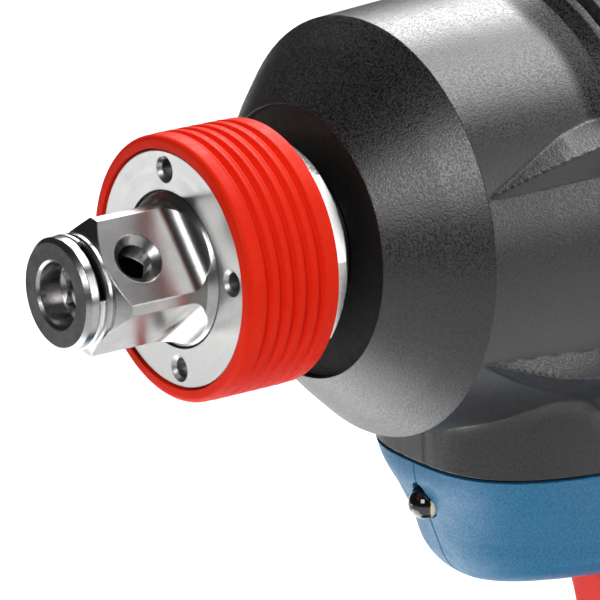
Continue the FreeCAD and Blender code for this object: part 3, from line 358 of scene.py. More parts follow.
def metal(name, dark, light, rough, stretch, depth=0.12, turned=False, spots=0.3):
    """Machined steel: fine tool marks along one direction, faint stains and soft edges."""
    look = Look(name)
    if turned:
        distance, split = look.axis_distance()
        along = look.add("ShaderNodeCombineXYZ", X=distance, Y=split.outputs[1]).outputs[0]
        marks = look.noise(1.0, 3.0, 0.6, place=along, stretch=stretch)
    else:
        marks = look.noise(1.0, 3.0, 0.6, stretch=stretch)
    stain = look.noise(350.0, 4.0, 0.6)
    tone = look.mix(spots, marks, stain)
    colour = look.ramp(tone, [(0.34, dark), (0.62, light)])
    return look.wire(Base_Color=colour, Metallic=1.0,
                     Roughness=look.spread(tone, rough - 0.05, rough + 0.09),
                     Normal=look.bump(marks, depth, 0.00005, look.bevel(STEEL_EDGE)))


def drive_steel_look():
    """Satin ground steel with fine grain; the flat ring of the tip is left dark."""
    look = Look("drive_steel")
    fine = look.noise(5200.0, 3.0, 0.6)
    stain = look.noise(420.0, 4.0, 0.6)
    tone = look.mix(0.45, stain, fine)
    ground = look.ramp(tone, [(0.34, (0.36, 0.357, 0.354)), (0.64, (0.52, 0.516, 0.512))])
    dark = look.ramp(tone, [(0.34, (0.055, 0.055, 0.058)), (0.64, (0.13, 0.13, 0.135))])
    split = look.add("ShaderNodeSeparateXYZ", Vector=look.place)
    face = look.spread(split.outputs[1], 1.0, 0.0, TIP_FACE, TIP_FACE + 0.00004)
    colour = look.add("ShaderNodeMix", {"data_type": "RGBA"})
    for socket, value in ((0, face), (6, ground), (7, dark)):
        look.tree.links.new(value, colour.inputs[socket])
    rough = look.spread(face, 0.24, 0.5, 0.0, 1.0)
    return look.wire(Base_Color=colour.outputs[2], Metallic=1.0, Roughness=rough,
                     Normal=look.bump(fine, 0.12, 0.00004, look.bevel(DRIVE_EDGE)))


def make_looks():
    looks = {
        "drive_steel": drive_steel_look(),
        "plate_steel": metal("plate_steel", (0.42, 0.42, 0.417), (0.54, 0.54, 0.537), 0.32,
                             (6500, 900, 1), turned=True, depth=0.10, spots=0.5),
        "sleeve_steel": metal("sleeve_steel", (0.74, 0.74, 0.73), (0.88, 0.87, 0.86), 0.30,
                              (1500, 3000, 1500), depth=0.06),
        "spring_steel": metal("spring_steel", (0.30, 0.30, 0.31), (0.52, 0.52, 0.53), 0.3,
                              (2500, 2500, 2500)),
        "clip_steel": metal("clip_steel", (0.15, 0.15, 0.155), (0.25, 0.25, 0.255), 0.4,
                            (9000, 350, 9000), depth=0.2),
        "screw_steel": metal("screw_steel", (0.10, 0.10, 0.10), (0.22, 0.22, 0.23), 0.34,
                             (3000, 3000, 3000)),
        "gear_steel": metal("gear_steel", (0.30, 0.30, 0.31), (0.50, 0.50, 0.50), 0.33,
                            (1200, 5000, 1200)),
        "seal_black": plastic("seal_black", (0.003, 0.003, 0.003), (0.01, 0.01, 0.01), 0.6, 2500,
                              0.2, specular=0.25),
        "bearing_steel": metal("bearing_steel", (0.50, 0.50, 0.51), (0.68, 0.68, 0.68), 0.15,
                               (5000, 300, 1), turned=True),
        "core_steel": metal("core_steel", (0.12, 0.12, 0.125), (0.24, 0.24, 0.25), 0.45,
                            (60, 5200, 60), depth=0.5),
        "case_aluminium": metal("case_aluminium", (0.42, 0.42, 0.43), (0.60, 0.60, 0.61), 0.42,
                                (1700, 1700, 1700), depth=0.4),
        "nose_black": metal("nose_black", (0.012, 0.012, 0.013), (0.03, 0.03, 0.03), 0.55,
                            (1700, 1700, 1700), depth=0.3),
        "bush_bronze": metal("bush_bronze", (0.35, 0.22, 0.10), (0.55, 0.38, 0.20), 0.35,
                             (3000, 3000, 3000)),
        "insert_brass": metal("insert_brass", (0.48, 0.32, 0.12), (0.70, 0.50, 0.24), 0.28,
                              (3500, 900, 900)),
        "copper_wire": metal("copper_wire", (0.35, 0.13, 0.05), (0.65, 0.28, 0.12), 0.28,
                             (900, 4200, 900)),
        "collar_red": plastic("collar_red", (0.76, 0.016, 0.003), (0.86, 0.026, 0.006), 0.46,
                              1500, 0.06, speckle=0.25, specular=0.08),
        "cover_black": plastic("cover_black", (0.001, 0.001, 0.0011), (0.028, 0.028, 0.029), 0.37,
                               3900, 0.75, speckle=1.0, specular=0.78, contrast=0.16,
                               relief=0.00004, sparkle=0.09),
        "rubber_black": plastic("rubber_black", (0.012, 0.012, 0.013), (0.045, 0.045, 0.047),
                                0.62, 1500, 0.8, speckle=0.6),
        "seal_rubber": plastic("seal_rubber", (0.006, 0.006, 0.006), (0.02, 0.02, 0.02), 0.45,
                               2500, 0.2),
        "housing_blue": plastic("housing_blue", (0.018, 0.135, 0.275), (0.036, 0.20, 0.37),
                                0.42, 3400, 0.6, speckle=0.9, specular=0.35, contrast=0.12),
        "plastic_black": plastic("plastic_black", (0.014, 0.014, 0.015), (0.045, 0.045, 0.047),
                                 0.46, 2300, 0.35, speckle=0.7),
        "board_green": plastic("board_green", (0.006, 0.05, 0.02), (0.02, 0.13, 0.05), 0.4, 500,
                               0.1),
        "button_red": plastic("button_red", (0.72, 0.012, 0.006), (0.82, 0.018, 0.010), 0.5,
                              900, 0.03, speckle=0.2, specular=0.06),
        "button_grey": plastic("button_grey", (0.10, 0.10, 0.105), (0.17, 0.17, 0.175), 0.55,
                               1800, 0.3),
        "cell_wrap": plastic("cell_wrap", (0.03, 0.16, 0.18), (0.07, 0.28, 0.30), 0.3, 300,
                             0.05),
        "floor": plastic("floor", (0.80, 0.80, 0.80), (0.84, 0.84, 0.84), 0.7, 40, 0.01,
                         speckle=0.2, specular=0.1),
    }
    looks["lens_clear"] = lens_look()
    return looks


def lens_look():
    """Dark clear dome with a painted reflection: a pale amber and white crescent in its base
    colour, on the rear left side, stands in for the lamp's cup catching light.
    """
    look = Look("lens_clear")
    wobble = look.noise(900.0, 2.0)
    across = look.add("ShaderNodeVectorMath", {"operation": "DOT_PRODUCT"}, Vector=look.place)
    across.inputs[1].default_value = LENS_GLINT_SIDE
    side = look.add("ShaderNodeMath", {"operation": "MULTIPLY_ADD"})
    look.tree.links.new(wobble, side.inputs[0])
    side.inputs[1].default_value = 0.0004
    look.tree.links.new(across.outputs["Value"], side.inputs[2])
    # painted reflection: border of the crescent, a set distance along the side direction, with a
    # slight wobble
    edge = look.spread(side.outputs[0], 0.0, 1.0, LENS_GLINT_EDGE, LENS_GLINT_EDGE + 0.0005)
    # painted reflection: the colour turns from the dark lens to pale amber and white past that
    # border
    colour = look.ramp(edge, [(0.0, (0.006, 0.006, 0.008)), (0.45, (0.008, 0.007, 0.008)),
                              (0.6, (0.60, 0.38, 0.06)), (0.8, (0.95, 0.88, 0.62))])
    return look.wire(Base_Color=colour, Roughness=look.spread(wobble, 0.06, 0.14),
                     Coat_Weight=1.0, Coat_Roughness=0.04,
                     Normal=look.bump(wobble, 0.05, 0.0001))


# direction across the dome and the line past which the painted reflection of the lamp's cup is
# drawn
LENS_GLINT_SIDE = (0.6, 0.8, 0.0)
LENS_GLINT_EDGE = LENS_GLINT_SIDE[1] * (LAMP_STATION - ORIGIN_STATION) / 1000 + 0.0007
TIP_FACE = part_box("anvil")[0][1] + 0.00002
LOOKS = make_looks()

NODE_LOOKS = {
    "drive_steel": ["anvil"], "plate_steel": ["collar_plate", "thrust_washer"],
    "sleeve_steel": ["collar_sleeve", "friction_ring"], "seal_rubber": ["friction_o_ring"],
    "seal_black": ["nose_seal"],
    "spring_steel": ["collar_retaining_ring", "bit_lock_pin_left", "bit_lock_pin_right",
                     "thrust_balls", "cam_balls"],
    "nose_black": ["hammer_case"], "case_aluminium": ["gearbox_plate"],
    "bush_bronze": ["anvil_bush"],
    "gear_steel": ["ring_gear", "planet_gear_1", "planet_gear_2", "planet_gear_3",
                   "planet_pins", "cam_shaft", "rotor_shaft", "hammer"],
    "bearing_steel": ["carrier_bearing", "motor_front_bearing", "motor_rear_bearing"],
    "core_steel": ["stator_core", "rotor_core"], "copper_wire": ["stator_windings"],
    "plastic_black": ["rear_cap", "cooling_fan", "trigger_switch", "direction_lever",
                      "control_panel"],
    "board_green": ["motor_board", "controller", "led_board"],
    "screw_steel": ["case_screws", "housing_screws", "cap_screws", "belt_clip_screw"],
    "insert_brass": ["accessory_insert", "battery_contacts"], "button_grey": ["speed_button"],
    "cell_wrap": ["battery_cells"],
}
for look_name, node_names in NODE_LOOKS.items():
    for node_name in node_names:
        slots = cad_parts[node_name].data.materials
        slots.clear()
        slots.append(LOOKS[look_name])


# --- coil springs ---------------------------------------------------------------------------

def make_spring(node, body):
    """Coil spring copied from its CAD node, with spring steel and its body, in place of the hidden
    node.
    """
    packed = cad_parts[node]
    coil = bpy.data.objects.new(node + "_coil", packed.data.copy())
    coil.matrix_world = packed.matrix_world
    scene.collection.objects.link(coil)
    place(coil, LOOKS["spring_steel"], body, "spring_steel", node)
    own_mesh(coil)


make_spring("hammer_spring", "spring_seat")
make_spring("collar_spring", "anvil")
make_spring("trigger_spring", "housing")


# --- collar grip ----------------------------------------------------------------------------

GRIP_RADIUS, GRIP_BORE = 15.7, 13.7
GRIP_GROOVES = (2.45, 4.3, 6.1, 7.95, 9.8)
GROOVE_HALF, GROOVE_DEPTH = 0.46, 0.58


def make_collar_grip():
    """Soft ring with a rounded front rim and five grooves."""
    stations = np.linspace(1.2, 11.6, 170)
    radii = np.full(stations.shape, GRIP_RADIUS)
    for groove in GRIP_GROOVES:
        off = np.abs(stations - groove) / GROOVE_HALF
        radii -= GROOVE_DEPTH * np.where(off < 1, np.cos(off * math.pi / 2) ** 1.2, 0)
        radii += 0.05 * np.exp(-((off - 1.35) / 0.3) ** 2)
    front = rounded([(-0.3, 14.15, 0), (-0.3, GRIP_RADIUS, 1.0), (1.2, GRIP_RADIUS, 0)], steps=10)
    back = rounded([(11.6, GRIP_RADIUS, 0), (12.4, GRIP_RADIUS, 0.5), (12.4, GRIP_BORE, 0)],
                   steps=6)
    profile = np.vstack([front, np.column_stack([stations, radii])[1:-1], back,
                         [(2.1, GRIP_BORE), (2.1, 14.12)]])
    place(lathe("collar_grip_ring", profile, 300, 50), LOOKS["collar_red"], "collar",
          "collar_red", "collar_grip")


# --- hammer case cover ----------------------------------------------------------------------

NECK_MIDDLE, NECK_LENGTH, NECK_HALF, NECK_POWER = 71.0, 35.6, 18.5, 3.0
SKIRT_BOTTOM, SKIRT_DEPTH, SKIRT_BLEND = -30.85, 35, 1.6
SKIRT_FRONT = (34.9, 39)  # stations between which the skirt's front curves most
CONE_RADIUS = 25.2  # the skirt only joins the barrel, which is wider than the cone
RIDGE_START = 27.5
COVER_REAR, COVER_RADIUS = 50.4, 28.9


def table(rows):
    """Function that reads between the rows (x, y)."""
    xs, ys = zip(*rows)
    return lambda s: np.interp(s, xs, ys)


# Each ridge gives the clock angle of its start, crest and end, and its height, by station.
UPPER_RIDGE = (
    table([(RIDGE_START, 68.6), (31, 65.2), (35.7, 60.4), (39.4, 56.9), (43.6, 54.9), (50, 54.6)]),
    table([(RIDGE_START, 68.9), (32.5, 66.2), (38, 64), (44.4, 62.2), (50, 61)]),
    table([(RIDGE_START, 69.3), (33.6, 69.5), (39.4, 69.2), (50, 69.2)]),
    table([(RIDGE_START, 0), (32.5, 0.9), (38, 1.8), (44.4, 2.5), (50, 2.5)]))
LOWER_RIDGE = (
    table([(RIDGE_START, 115), (34, 116.2), (39.6, 117.0), (45.2, 117.5), (50, 117.8)]),
    table([(RIDGE_START, 115.4), (32, 118.1), (38.3, 121.3), (44.4, 123.3), (50, 124.5)]),
    table([(RIDGE_START, 116), (34, 125), (44, 138), (50, 142)]),
    table([(RIDGE_START, 0), (32, 0.9), (38.3, 2.1), (44.4, 2.5), (50, 2.5)]))


def ridge_rise(s, clock):
    """Height of the two ridges of each side above the plain cover."""
    rise = np.zeros(np.broadcast(s, clock).shape)
    around = np.abs((clock + 180) % 360 - 180)
    for start, crest, end, height in (UPPER_RIDGE, LOWER_RIDGE):
        up = (around - start(s)) / np.maximum(crest(s) - start(s), 0.2)
        down = (end(s) - around) / np.maximum(end(s) - crest(s), 0.2)
        rise += height(s) * np.clip(np.minimum(up, down), 0, 1)
    return np.where(s > RIDGE_START, rise, 0)


def neck_half_width(s):
    """Half width at a station of the oval that the skirt and the chin share."""
    inside = 1 - (np.abs(NECK_MIDDLE - s) / NECK_LENGTH) ** NECK_POWER
    return NECK_HALF * np.maximum(inside, 0) ** (1 / NECK_POWER)


def skirt_reach(s, clock):
    """Distance from the drive axis to the skirt's walls, or 0 where there is no skirt."""
    below = np.radians(np.abs((clock + 360) % 360 - 180))
    half = neck_half_width(s)
    wall = np.minimum(half / np.maximum(np.sin(below), 1e-3),
                      SKIRT_DEPTH / np.maximum(np.cos(below), 0.2))
    return np.where((below < 1.1) & (half > 0), wall, 0)


def smooth_max(a, b, reach):
    """The larger of two values, with a fillet where they come close."""
    gap = np.maximum(reach - np.abs(a - b), 0) / reach
    return np.maximum(a, b) + gap ** 2 * reach / 4


def make_cover():
    """Bell-shaped cover: chamfered mouth, cone, barrel with ridges, rim and the skirt below."""
    outer = rounded([(18, 16.35, 0), (19.3, 17.65, 0.25), (24, 22.25, 6), (27.45, 25.3, 0.1),
                     (36, 25.85, 12), (44.6, 26.25, 6), (47.8, 27.3, 0.08),
                     (49.25, 28.55, 0.15), (COVER_REAR, COVER_RADIUS, 0.2),
                     (COVER_REAR, 25.0, 0)], steps=5)
    dense = [outer[0]]
    for a, b in zip(outer[:-1], outer[1:]):
        curved = SKIRT_FRONT[0] < max(a[0], b[0]) and min(a[0], b[0]) < SKIRT_FRONT[1]
        gap = 0.12 if curved else 0.5
        steps = max(1, int(np.linalg.norm(b - a) / gap))
        dense += [a + (b - a) * (k + 1) / steps for k in range(steps)]
    outer = np.array(dense)
    inner = np.array([(COVER_REAR, 24.6), (27.6, 23.4), (21.0, 16.3), (18.4, 16.2)])
    clocks = np.arange(720) * 0.5
    s = outer[:, 0][:, None]
    clock = clocks[None, :]
    plain = outer[:, 1][:, None]
    radius = np.maximum(np.minimum(plain + ridge_rise(s, clock), COVER_RADIUS), plain)
    with_skirt = smooth_max(radius, skirt_reach(s, clock), SKIRT_BLEND)
    full = np.where(plain > CONE_RADIUS, with_skirt, radius)
    c = np.radians(clock)
    skin = np.stack([full * np.sin(c), s + 0 * c, full * np.cos(c)], -1)
    rings = np.concatenate([skin, polar(inner, clocks)])
    cover = loop_tube("case_cover", rings, 30)
    below_skirt = box("below_skirt", -40, 40, 0, 80, -60, SKIRT_BOTTOM)
    combine(cover, [below_skirt], "DIFFERENCE", 30)
    place(cover, LOOKS["cover_black"], "housing", "cover_black", "hammer_case_cover")


# --- housing --------------------------------------------------------------------------------

SHELL_FRONT, SHELL_RADIUS = 51.3, 29.5
CHIN_TOP = -31.3
SEAM_HALF, SEAM_DEPTH = 0.00016, 0.0002
CHIN = [  # level, front station, half width, rear station
    (-12, 35.4, 18.5, 106.6), (-31.2, 35.4, 18.5, 106.6), (-33.0, 35.6, 18.45, 106.6),
    (-36.9, 37.1, 18.3, 106.4), (-39.5, 38.2, 18.15, 106), (-41.8, 39.15, 18.0, 106),
    (-43.1, 39.7, 17.8, 106), (-44.4, 40.3, 17.0, 106), (-45.6, 41.1, 15.6, 106),
    (-46.8, 42.3, 13.2, 105.5), (-47.6, 43.6, 10.8, 105), (-48.2, 45.5, 8.2, 104),
    (-48.7, 49.0, 5.0, 102)]
CHIN_POWER = table([(-48, 2.3), (-44, 2.2), (-41, 2.1), (-38.5, 2.18), (-36, 2.35),
                    (-33, 2.75), (-31.2, 3.0)])
HANDLE = [  # level, middle, half length, half width
    (-36, 87.5, 20.2, 17.6), (-46, 88.5, 19.5, 17.2), (-62, 89.3, 18.7, 16.6),
    (-80, 90.5, 18.9, 16.6), (-95, 92.2, 19.5, 17.3), (-110, 94.0, 19.6, 17.3),
    (-126, 95.8, 20.0, 17.4), (-140, 97.5, 21.0, 18.5), (-150, 98.4, 23.2, 20.6),
    (-158, 99, 27.0, 24.5), (-163, 99, 28, 25)]


HANDLE_POWER = 2.4
FOOT_LEVEL = -162  # middle of the foot's height, where its clip and thread sit


def refine(rows, step):
    """Rows interpolated along their first column with a smooth curve."""
    rows = np.array(rows, float)
    levels = np.arange(rows[0, 0], rows[-1, 0], -step)
    levels = np.append(levels, rows[-1, 0])
    out = [levels]
    for column in range(1, rows.shape[1]):
        x, y = -rows[:, 0], rows[:, column]
        slope = np.gradient(y, x)
        i = np.clip(np.searchsorted(x, -levels) - 1, 0, len(x) - 2)
        gap = x[i + 1] - x[i]
        t = (-levels - x[i]) / gap
        out.append((2 * t ** 3 - 3 * t ** 2 + 1) * y[i]
                   + (t ** 3 - 2 * t ** 2 + t) * gap * slope[i]
                   + (3 * t ** 2 - 2 * t ** 3) * y[i + 1]
                   + (t ** 3 - t ** 2) * gap * slope[i + 1])
    return np.column_stack(out)


def chin_solid():
    """Nose of the housing below the barrel, narrowing to its rounded underside."""
    rings = []
    rows = refine(CHIN[1:], 0.25)
    rows = np.vstack([[CHIN[0]], rows])
    for level, front, half, back in rows:
        rings.append(oval(level, (front + back) / 2, (back - front) / 2, half,
                          float(CHIN_POWER(level)), 240))
    return tube("chin", rings)


def handle_solid():
    """Oval handle that swells towards the foot."""
    rows = refine(HANDLE, 1.5)
    return tube("handle", [oval(*row, HANDLE_POWER, 200) for row in rows])


def press_seam(item):
    """Narrow groove along the middle plane, where the two halves of the shell meet."""
    edit = bmesh.new()
    edit.from_mesh(item.data)
    for x in (0, SEAM_HALF, -SEAM_HALF):
        bmesh.ops.bisect_plane(edit, geom=edit.verts[:] + edit.edges[:] + edit.faces[:],
                               dist=1e-7, plane_co=(x, 0, 0), plane_no=(1, 0, 0))
    edit.normal_update()
    middle = [(v, v.normal.copy()) for v in edit.verts if abs(v.co.x) < 1e-6]
    for vertex, normal in middle:
        normal.x = 0
        if normal.length > 0.5:
            vertex.co -= normal.normalized() * SEAM_DEPTH
    edit.to_mesh(item.data)
    edit.free()
    smooth(item.data, 32)


def lamp_pocket():
    """Seat of the lamp with the small teardrop relief above it."""
    seat = peg("seat", (0, 30, LAMP_LEVEL - 3.1), (0, 43, LAMP_LEVEL + 2.6), 2.15, 40)
    drop = peg("drop", (0, 30, -37.8), (0, 38.4, -34.2), 1.15, 32)
    return [seat, drop]


def make_housing():
    """Barrel, chin, handle and foot as one shell, with the rooms for all that sits in it."""
    barrel = barrel_solid("housing_shell", rounded([
        (SHELL_FRONT, 0.01, 0), (SHELL_FRONT, SHELL_RADIUS, 0.9), (84, SHELL_RADIUS, 0),
        (104, SHELL_RADIUS, 20), (118, 28.4, 0.6), (118, 0.01, 0)]), 300)
    foot = soft_slab("foot", -172, -152.4, 37, 24, 130, 13, 0.8, 7)
    combine(barrel, [chin_solid(), handle_solid(), foot], "UNION")
    cutters = [
        barrel_solid("motor_room", [(50, 0.01), (50, 24.9), (53.9, 24.9), (53.9, 27.1),
                                    (110, 27.1), (119, 26.4), (119, 0.01)], 120),
        box("skirt_room", -30, 30, 0, SHELL_FRONT, CHIN_TOP, 0),
        box("trigger_way", -9, 9, 50, 84.2, -82.8, -49.2),
        box("switch_room", -8.2, 8.2, 84, 103, -82.5, -54.5),
        peg("lever_way", (-30, 80, -45), (30, 80, -45), 4.3, 48),
        box("panel_way", -14.3, 14.3, 28.7, 58.3, -153.6, -150),
        peg("button_way", (0, 44, -158), (0, 44, -150), 5.4, 48),
        box("foot_room", -34.6, 34.6, 26.4, 127.6, -180, -160.5),
        box("front_way", -27.5, 27.5, 20, 30, -174, -160.5),
        peg("insert_way", (29.9, 110, FOOT_LEVEL), (40, 110, FOOT_LEVEL), 3.21, 40),
        *lamp_pocket()]
    for station, level, reach in ((53, -37, 14), (100, -38, 9.2), (97.5, -95, 15.2),
                                  (98.5, -128, 16.6), (123.5, -165, 35.6)):
        cutters.append(peg("screw_way", (-reach - 12, station, level),
                           (-reach + 2.5, station, level), 3.05, 40))
    combine(barrel, cutters, "DIFFERENCE", 32)
    press_seam(barrel)
    place(barrel, LOOKS["housing_blue"], "housing", "housing_blue", "housing_left",
          "housing_right")


def wrapped(name, rings_out, rings_in):
    """Closed skin between an outer and an inner open sheet of the same grid."""
    outer, inner = np.asarray(rings_out, float), np.asarray(rings_in, float)
    rows, columns = outer.shape[:2]
    count = rows * columns
    faces = grid_faces(rows, columns, False, False)
    faces += [tuple(reversed([k + count for k in face]))
              for face in grid_faces(rows, columns, False, False)]
    border = ([(i, 0) for i in range(rows)] + [(rows - 1, j) for j in range(1, columns)]
              + [(i, columns - 1) for i in range(rows - 2, -1, -1)]
              + [(0, j) for j in range(columns - 2, 0, -1)])
    flat = [i * columns + j for i, j in border]
    for a, b in zip(flat, flat[1:] + flat[:1]):
        faces.append((a, b, b + count, a + count))
    return build(name, np.vstack([outer.reshape(-1, 3), inner.reshape(-1, 3)]), faces)


def rolled(rows, columns, high, edge):
    """Height of a soft skin: full in the middle and rolled down at its borders."""
    v = np.linspace(0, 1, rows)[:, None]
    u = np.linspace(0, 1, columns)[None, :]
    side = np.minimum(np.minimum(v, 1 - v) * rows, np.minimum(u, 1 - u) * columns) / edge
    return high * np.sqrt(np.clip(1 - (1 - np.clip(side, 0, 1)) ** 2, 0, 1))


BAND_FRONT, BAND_RADIUS, BAND_RISE = 50.95, 29.3, 0.75
BAND_CLOCK = 136  # the band ends this far round on each side, above the chin


def make_front_band():
    """Soft band round the front of the barrel with a swept rear edge."""
    rows, columns = 60, 420
    clock = np.linspace(-BAND_CLOCK, BAND_CLOCK, columns)[None, :]
    back = 66 + 9 * np.cos(np.radians(clock * 1.6)) - 4 * np.cos(np.radians(clock * 4))
    v = np.linspace(0, 1, rows)[:, None]
    s = BAND_FRONT + (back - BAND_FRONT) * v
    rise = rolled(rows, columns, BAND_RISE, 5)
    # the front edge stays at full height, as in the middle of a band twice as long
    rise[:8] = rolled(2 * rows, columns, BAND_RISE, 5)[rows - 8:rows]
    c = np.radians(clock)

    def sheet(radius):
        return np.stack([radius * np.sin(c), s + 0 * c, radius * np.cos(c)], -1)

    inner = np.where(v == 0, 27.2, 28.9)
    band = wrapped("barrel_band", sheet(BAND_RADIUS + rise), sheet(inner + 0 * rise))
    place(band, LOOKS["rubber_black"], "housing", "cover_black")


RIB_SPACING, RIB_HEIGHT = 4.2, 0.32


def make_grips():
    """Soft skins of the handle's two sides, with raised finger ribs."""
    handle = refine(HANDLE, 0.5)
    rows, columns = 240, 150
    for side, name, node in ((1, "soft_grip_left", "grip_left"),
                             (-1, "soft_grip_right", "grip_right")):
        t = np.linspace(0.0, math.pi, columns)[None, :]  # round one side, front to rear
        top = np.interp(t, [0, 0.5, 1.1, 1.9, 2.6, math.pi], [-84.5, -84.5, -72, -58, -50, -48.5])
        bottom = np.interp(t, [0, 1.0, 2.0, math.pi], [-143, -147, -147, -143])
        v = np.linspace(0, 1, rows)[:, None]
        z = top + (bottom - top) * v
        middle, length, width = (np.interp(-z, -handle[:, 0], handle[:, k]) for k in (1, 2, 3))
        rise = rolled(rows, columns, 0.9, 6)
        rise[:, 0] = rise[:, 1] = rise[:, 2]
        rise[:, -1] = rise[:, -2] = rise[:, -3]
        ribbed = np.exp(-((t - 1.35) / 0.62) ** 4) * np.exp(-((z + 112) / 25) ** 6)
        wave = np.maximum(np.sin(z * 2 * math.pi / RIB_SPACING + t * 2.2), -0.2)
        rise = rise + RIB_HEIGHT * ribbed * wave

        def sheet(extra):
            c, w = np.cos(t), np.sin(t)
            x = (width + extra) * np.abs(w) ** (2 / HANDLE_POWER)
            y = middle - (length + extra) * np.sign(c) * np.abs(c) ** (2 / HANDLE_POWER)
            return np.stack([side * (x + 0.02), y, z + 0 * x], -1)

        skin = wrapped(name, sheet(rise - 0.05), sheet(-0.6 + 0 * rise))
        place(skin, LOOKS["rubber_black"], "housing", "cover_black", node)


# --- lamp, trigger and clip -----------------------------------------------------------------

LAMP_RADIUS, LAMP_LENGTH, LAMP_TILT = 1.95, 4.8, 24


def make_lamp():
    """Dome on a short round bar that points forwards and down."""
    tilt = math.radians(LAMP_TILT)
    inward = np.array([0, math.cos(tilt), math.sin(tilt)])
    centre = np.array([0, LAMP_STATION, LAMP_LEVEL])
    side = np.array([1.0, 0, 0])
    up = np.cross(inward, side)
    t = np.arange(64) * 2 * math.pi / 64
    around = np.outer(np.cos(t), side) + np.outer(np.sin(t), up)
    rings = []
    for k in range(1, 17):
        a = math.pi / 2 * k / 16
        rings.append(centre + around * LAMP_RADIUS * math.sin(a)
                     - inward * LAMP_RADIUS * math.cos(a))
    rings.append(centre + around * LAMP_RADIUS + inward * LAMP_LENGTH)
    place(tube("lamp_dome", rings), LOOKS["lens_clear"], "housing", "lens_clear", "led_lens")


TRIGGER = [  # level, front station
    (-49.8, 62.8), (-52, 63.4), (-54, 64.2), (-56, 65), (-59, 66), (-62.5, 66.8), (-66, 67.2),
    (-69, 67.2), (-72.5, 66.8), (-75.5, 65.8), (-78.5, 64.5), (-80.5, 63.9), (-81.6, 64.2),
    (-82, 65.2)]
TRIGGER_REAR, TRIGGER_HALF, TRIGGER_NOSE = 76, 8.4, 7.0


def make_trigger():
    """Curved lever with a round nose, a narrower lower end and a plunger behind it."""
    rings = []
    for level, front in refine(TRIGGER, 0.6):
        end = min(1.0, max(0.0, (level - TRIGGER[-1][0]) / 2.2))
        half = TRIGGER_HALF - 0.9 * (1 - end) ** 2
        ring = rounded([(half, TRIGGER_REAR, 0.4), (-half, TRIGGER_REAR, 0.4),
                        (-half, front, TRIGGER_NOSE), (half, front, TRIGGER_NOSE)],
                       closed=True, steps=12)
        rings.append(np.column_stack([ring, np.full(len(ring), level)]))
    trigger = tube("trigger_lever", rings, 40)
    combine(trigger, [peg("plunger", (0, 75, -68), (0, 85, -68), 2.0)], "UNION")
    place(trigger, LOOKS["button_red"], "trigger", "button_red", "trigger")


CLIP_SKIN = 0.72  # half the strip's thickness


def make_belt_clip():
    """Bent spring strip: flange on the foot, a round bend and a long arm with a flared tip."""
    path = [(-37.8, 76), (-37.8, 60)]  # x and station of the strip's middle
    centre = (-41.7, 56.5)
    for k in range(19):
        a = math.pi * k / 18
        path.append((centre[0] + 3.9 * math.cos(a), centre[1] - 3.5 * math.sin(a)))
    path += [(-45.6, 60), (-45.4, 80), (-44.9, 98), (-44.6, 104), (-44.9, 109), (-45.6, 114)]
    path = np.array(path)
    half = [7.0] * len(path)  # half width of the strip at each point
    half[-1], half[-2], half[0] = 3.5, 6.2, 5.0
    step = np.gradient(path, axis=0)
    step /= np.linalg.norm(step, axis=1)[:, None]
    across = np.column_stack([-step[:, 1], step[:, 0]])
    rings = []
    for p, n, h in zip(path, across, half):
        rings.append([(*(p + n * side), FOOT_LEVEL + rise * h)
                      for side, rise in ((CLIP_SKIN, -1), (CLIP_SKIN, 1), (-CLIP_SKIN, 1),
                                         (-CLIP_SKIN, -1))])
    clip = tube("belt_hook", rings)
    combine(clip, [peg("hook_hole", (-60, 66, FOOT_LEVEL), (-30, 66, FOOT_LEVEL), 2.2),
                   peg("hook_access", (-60, 66, FOOT_LEVEL), (-42, 66, FOOT_LEVEL), 4.2)],
            "DIFFERENCE")
    soften(clip, 0.3)
    place(clip, LOOKS["clip_steel"], "housing", "spring_steel", "belt_clip")


# --- battery --------------------------------------------------------------------------------

BATTERY_PLAN = (38.5, 17.5, 132.5, 12)  # half width, front, rear, corner radius


def make_battery():
    """Two case halves, the tower with its rails and contact slots, and the latch button."""
    upper = soft_slab("battery_top_case", -190, -172.5, *BATTERY_PLAN, 0.4, 5.5)
    tower = box("tower", -27, 27, 30, 112, -176, -161)
    combine(upper, [tower], "UNION")
    cutters = [box("latch_way", -13.3, 13.3, 10, 33, -184.3, -160),
               box("rail_left", 24.3, 40, 20, 113, -169.4, -165.6),
               box("rail_right", -40, -24.3, 20, 113, -169.4, -165.6)]
    cutters += [box("slot", x - 1.9, x + 1.9, 97, 114, -171, -162.5) for x in (-15, -5, 5, 15)]
    combine(upper, cutters, "DIFFERENCE")
    soften(upper, 0.35)
    place(upper, LOOKS["plastic_black"], "battery", "plastic_black", "battery_case_upper")

    lower = soft_slab("battery_base_case", -210, -190.15, *BATTERY_PLAN, 2.2, 0.4)
    grooves = [box("grip_groove", x0, x1, 42, 108, z, z + 1.3)
               for x0, x1 in ((-45, -37.7), (37.7, 45))
               for z in (-205.5, -202.4, -199.3, -196.2)]
    combine(lower, grooves, "DIFFERENCE")
    soften(lower, 0.3)
    place(lower, LOOKS["plastic_black"], "battery", "plastic_black", "battery_case_lower")

    button = soft_slab("latch_button", -181, -175, 12.8, 16.3, 30, 2.5, 1.2, 1.2)
    combine(button, [box("tongue", -6, 6, 26, 29.5, -177, -169.5)], "UNION")
    combine(button, [box("rib_gap", -9.5, 9.5, 15, 16.9, z, z + 0.7)
                     for z in (-179.6, -178.2, -176.8)], "DIFFERENCE")
    soften(button, 0.2)
    place(button, LOOKS["button_red"], "battery_latch", "button_red", "battery_latch")


make_collar_grip()
make_cover()
make_housing()
make_front_band()
make_grips()
make_lamp()
make_trigger()
make_belt_clip()
make_battery()


# --- floor, light and camera ----------------------------------------------------------------

def make_floor():
    """Plain pale floor under the tool."""
    floor = bpy.data.meshes.new("floor")
    floor.from_pydata([(-6, -6, 0), (6, -6, 0), (6, 6, 0), (-6, 6, 0)], [], [(0, 1, 2, 3)])
    item = bpy.data.objects.new("floor", floor)
    scene.collection.objects.link(item)
    floor.materials.append(LOOKS["floor"])


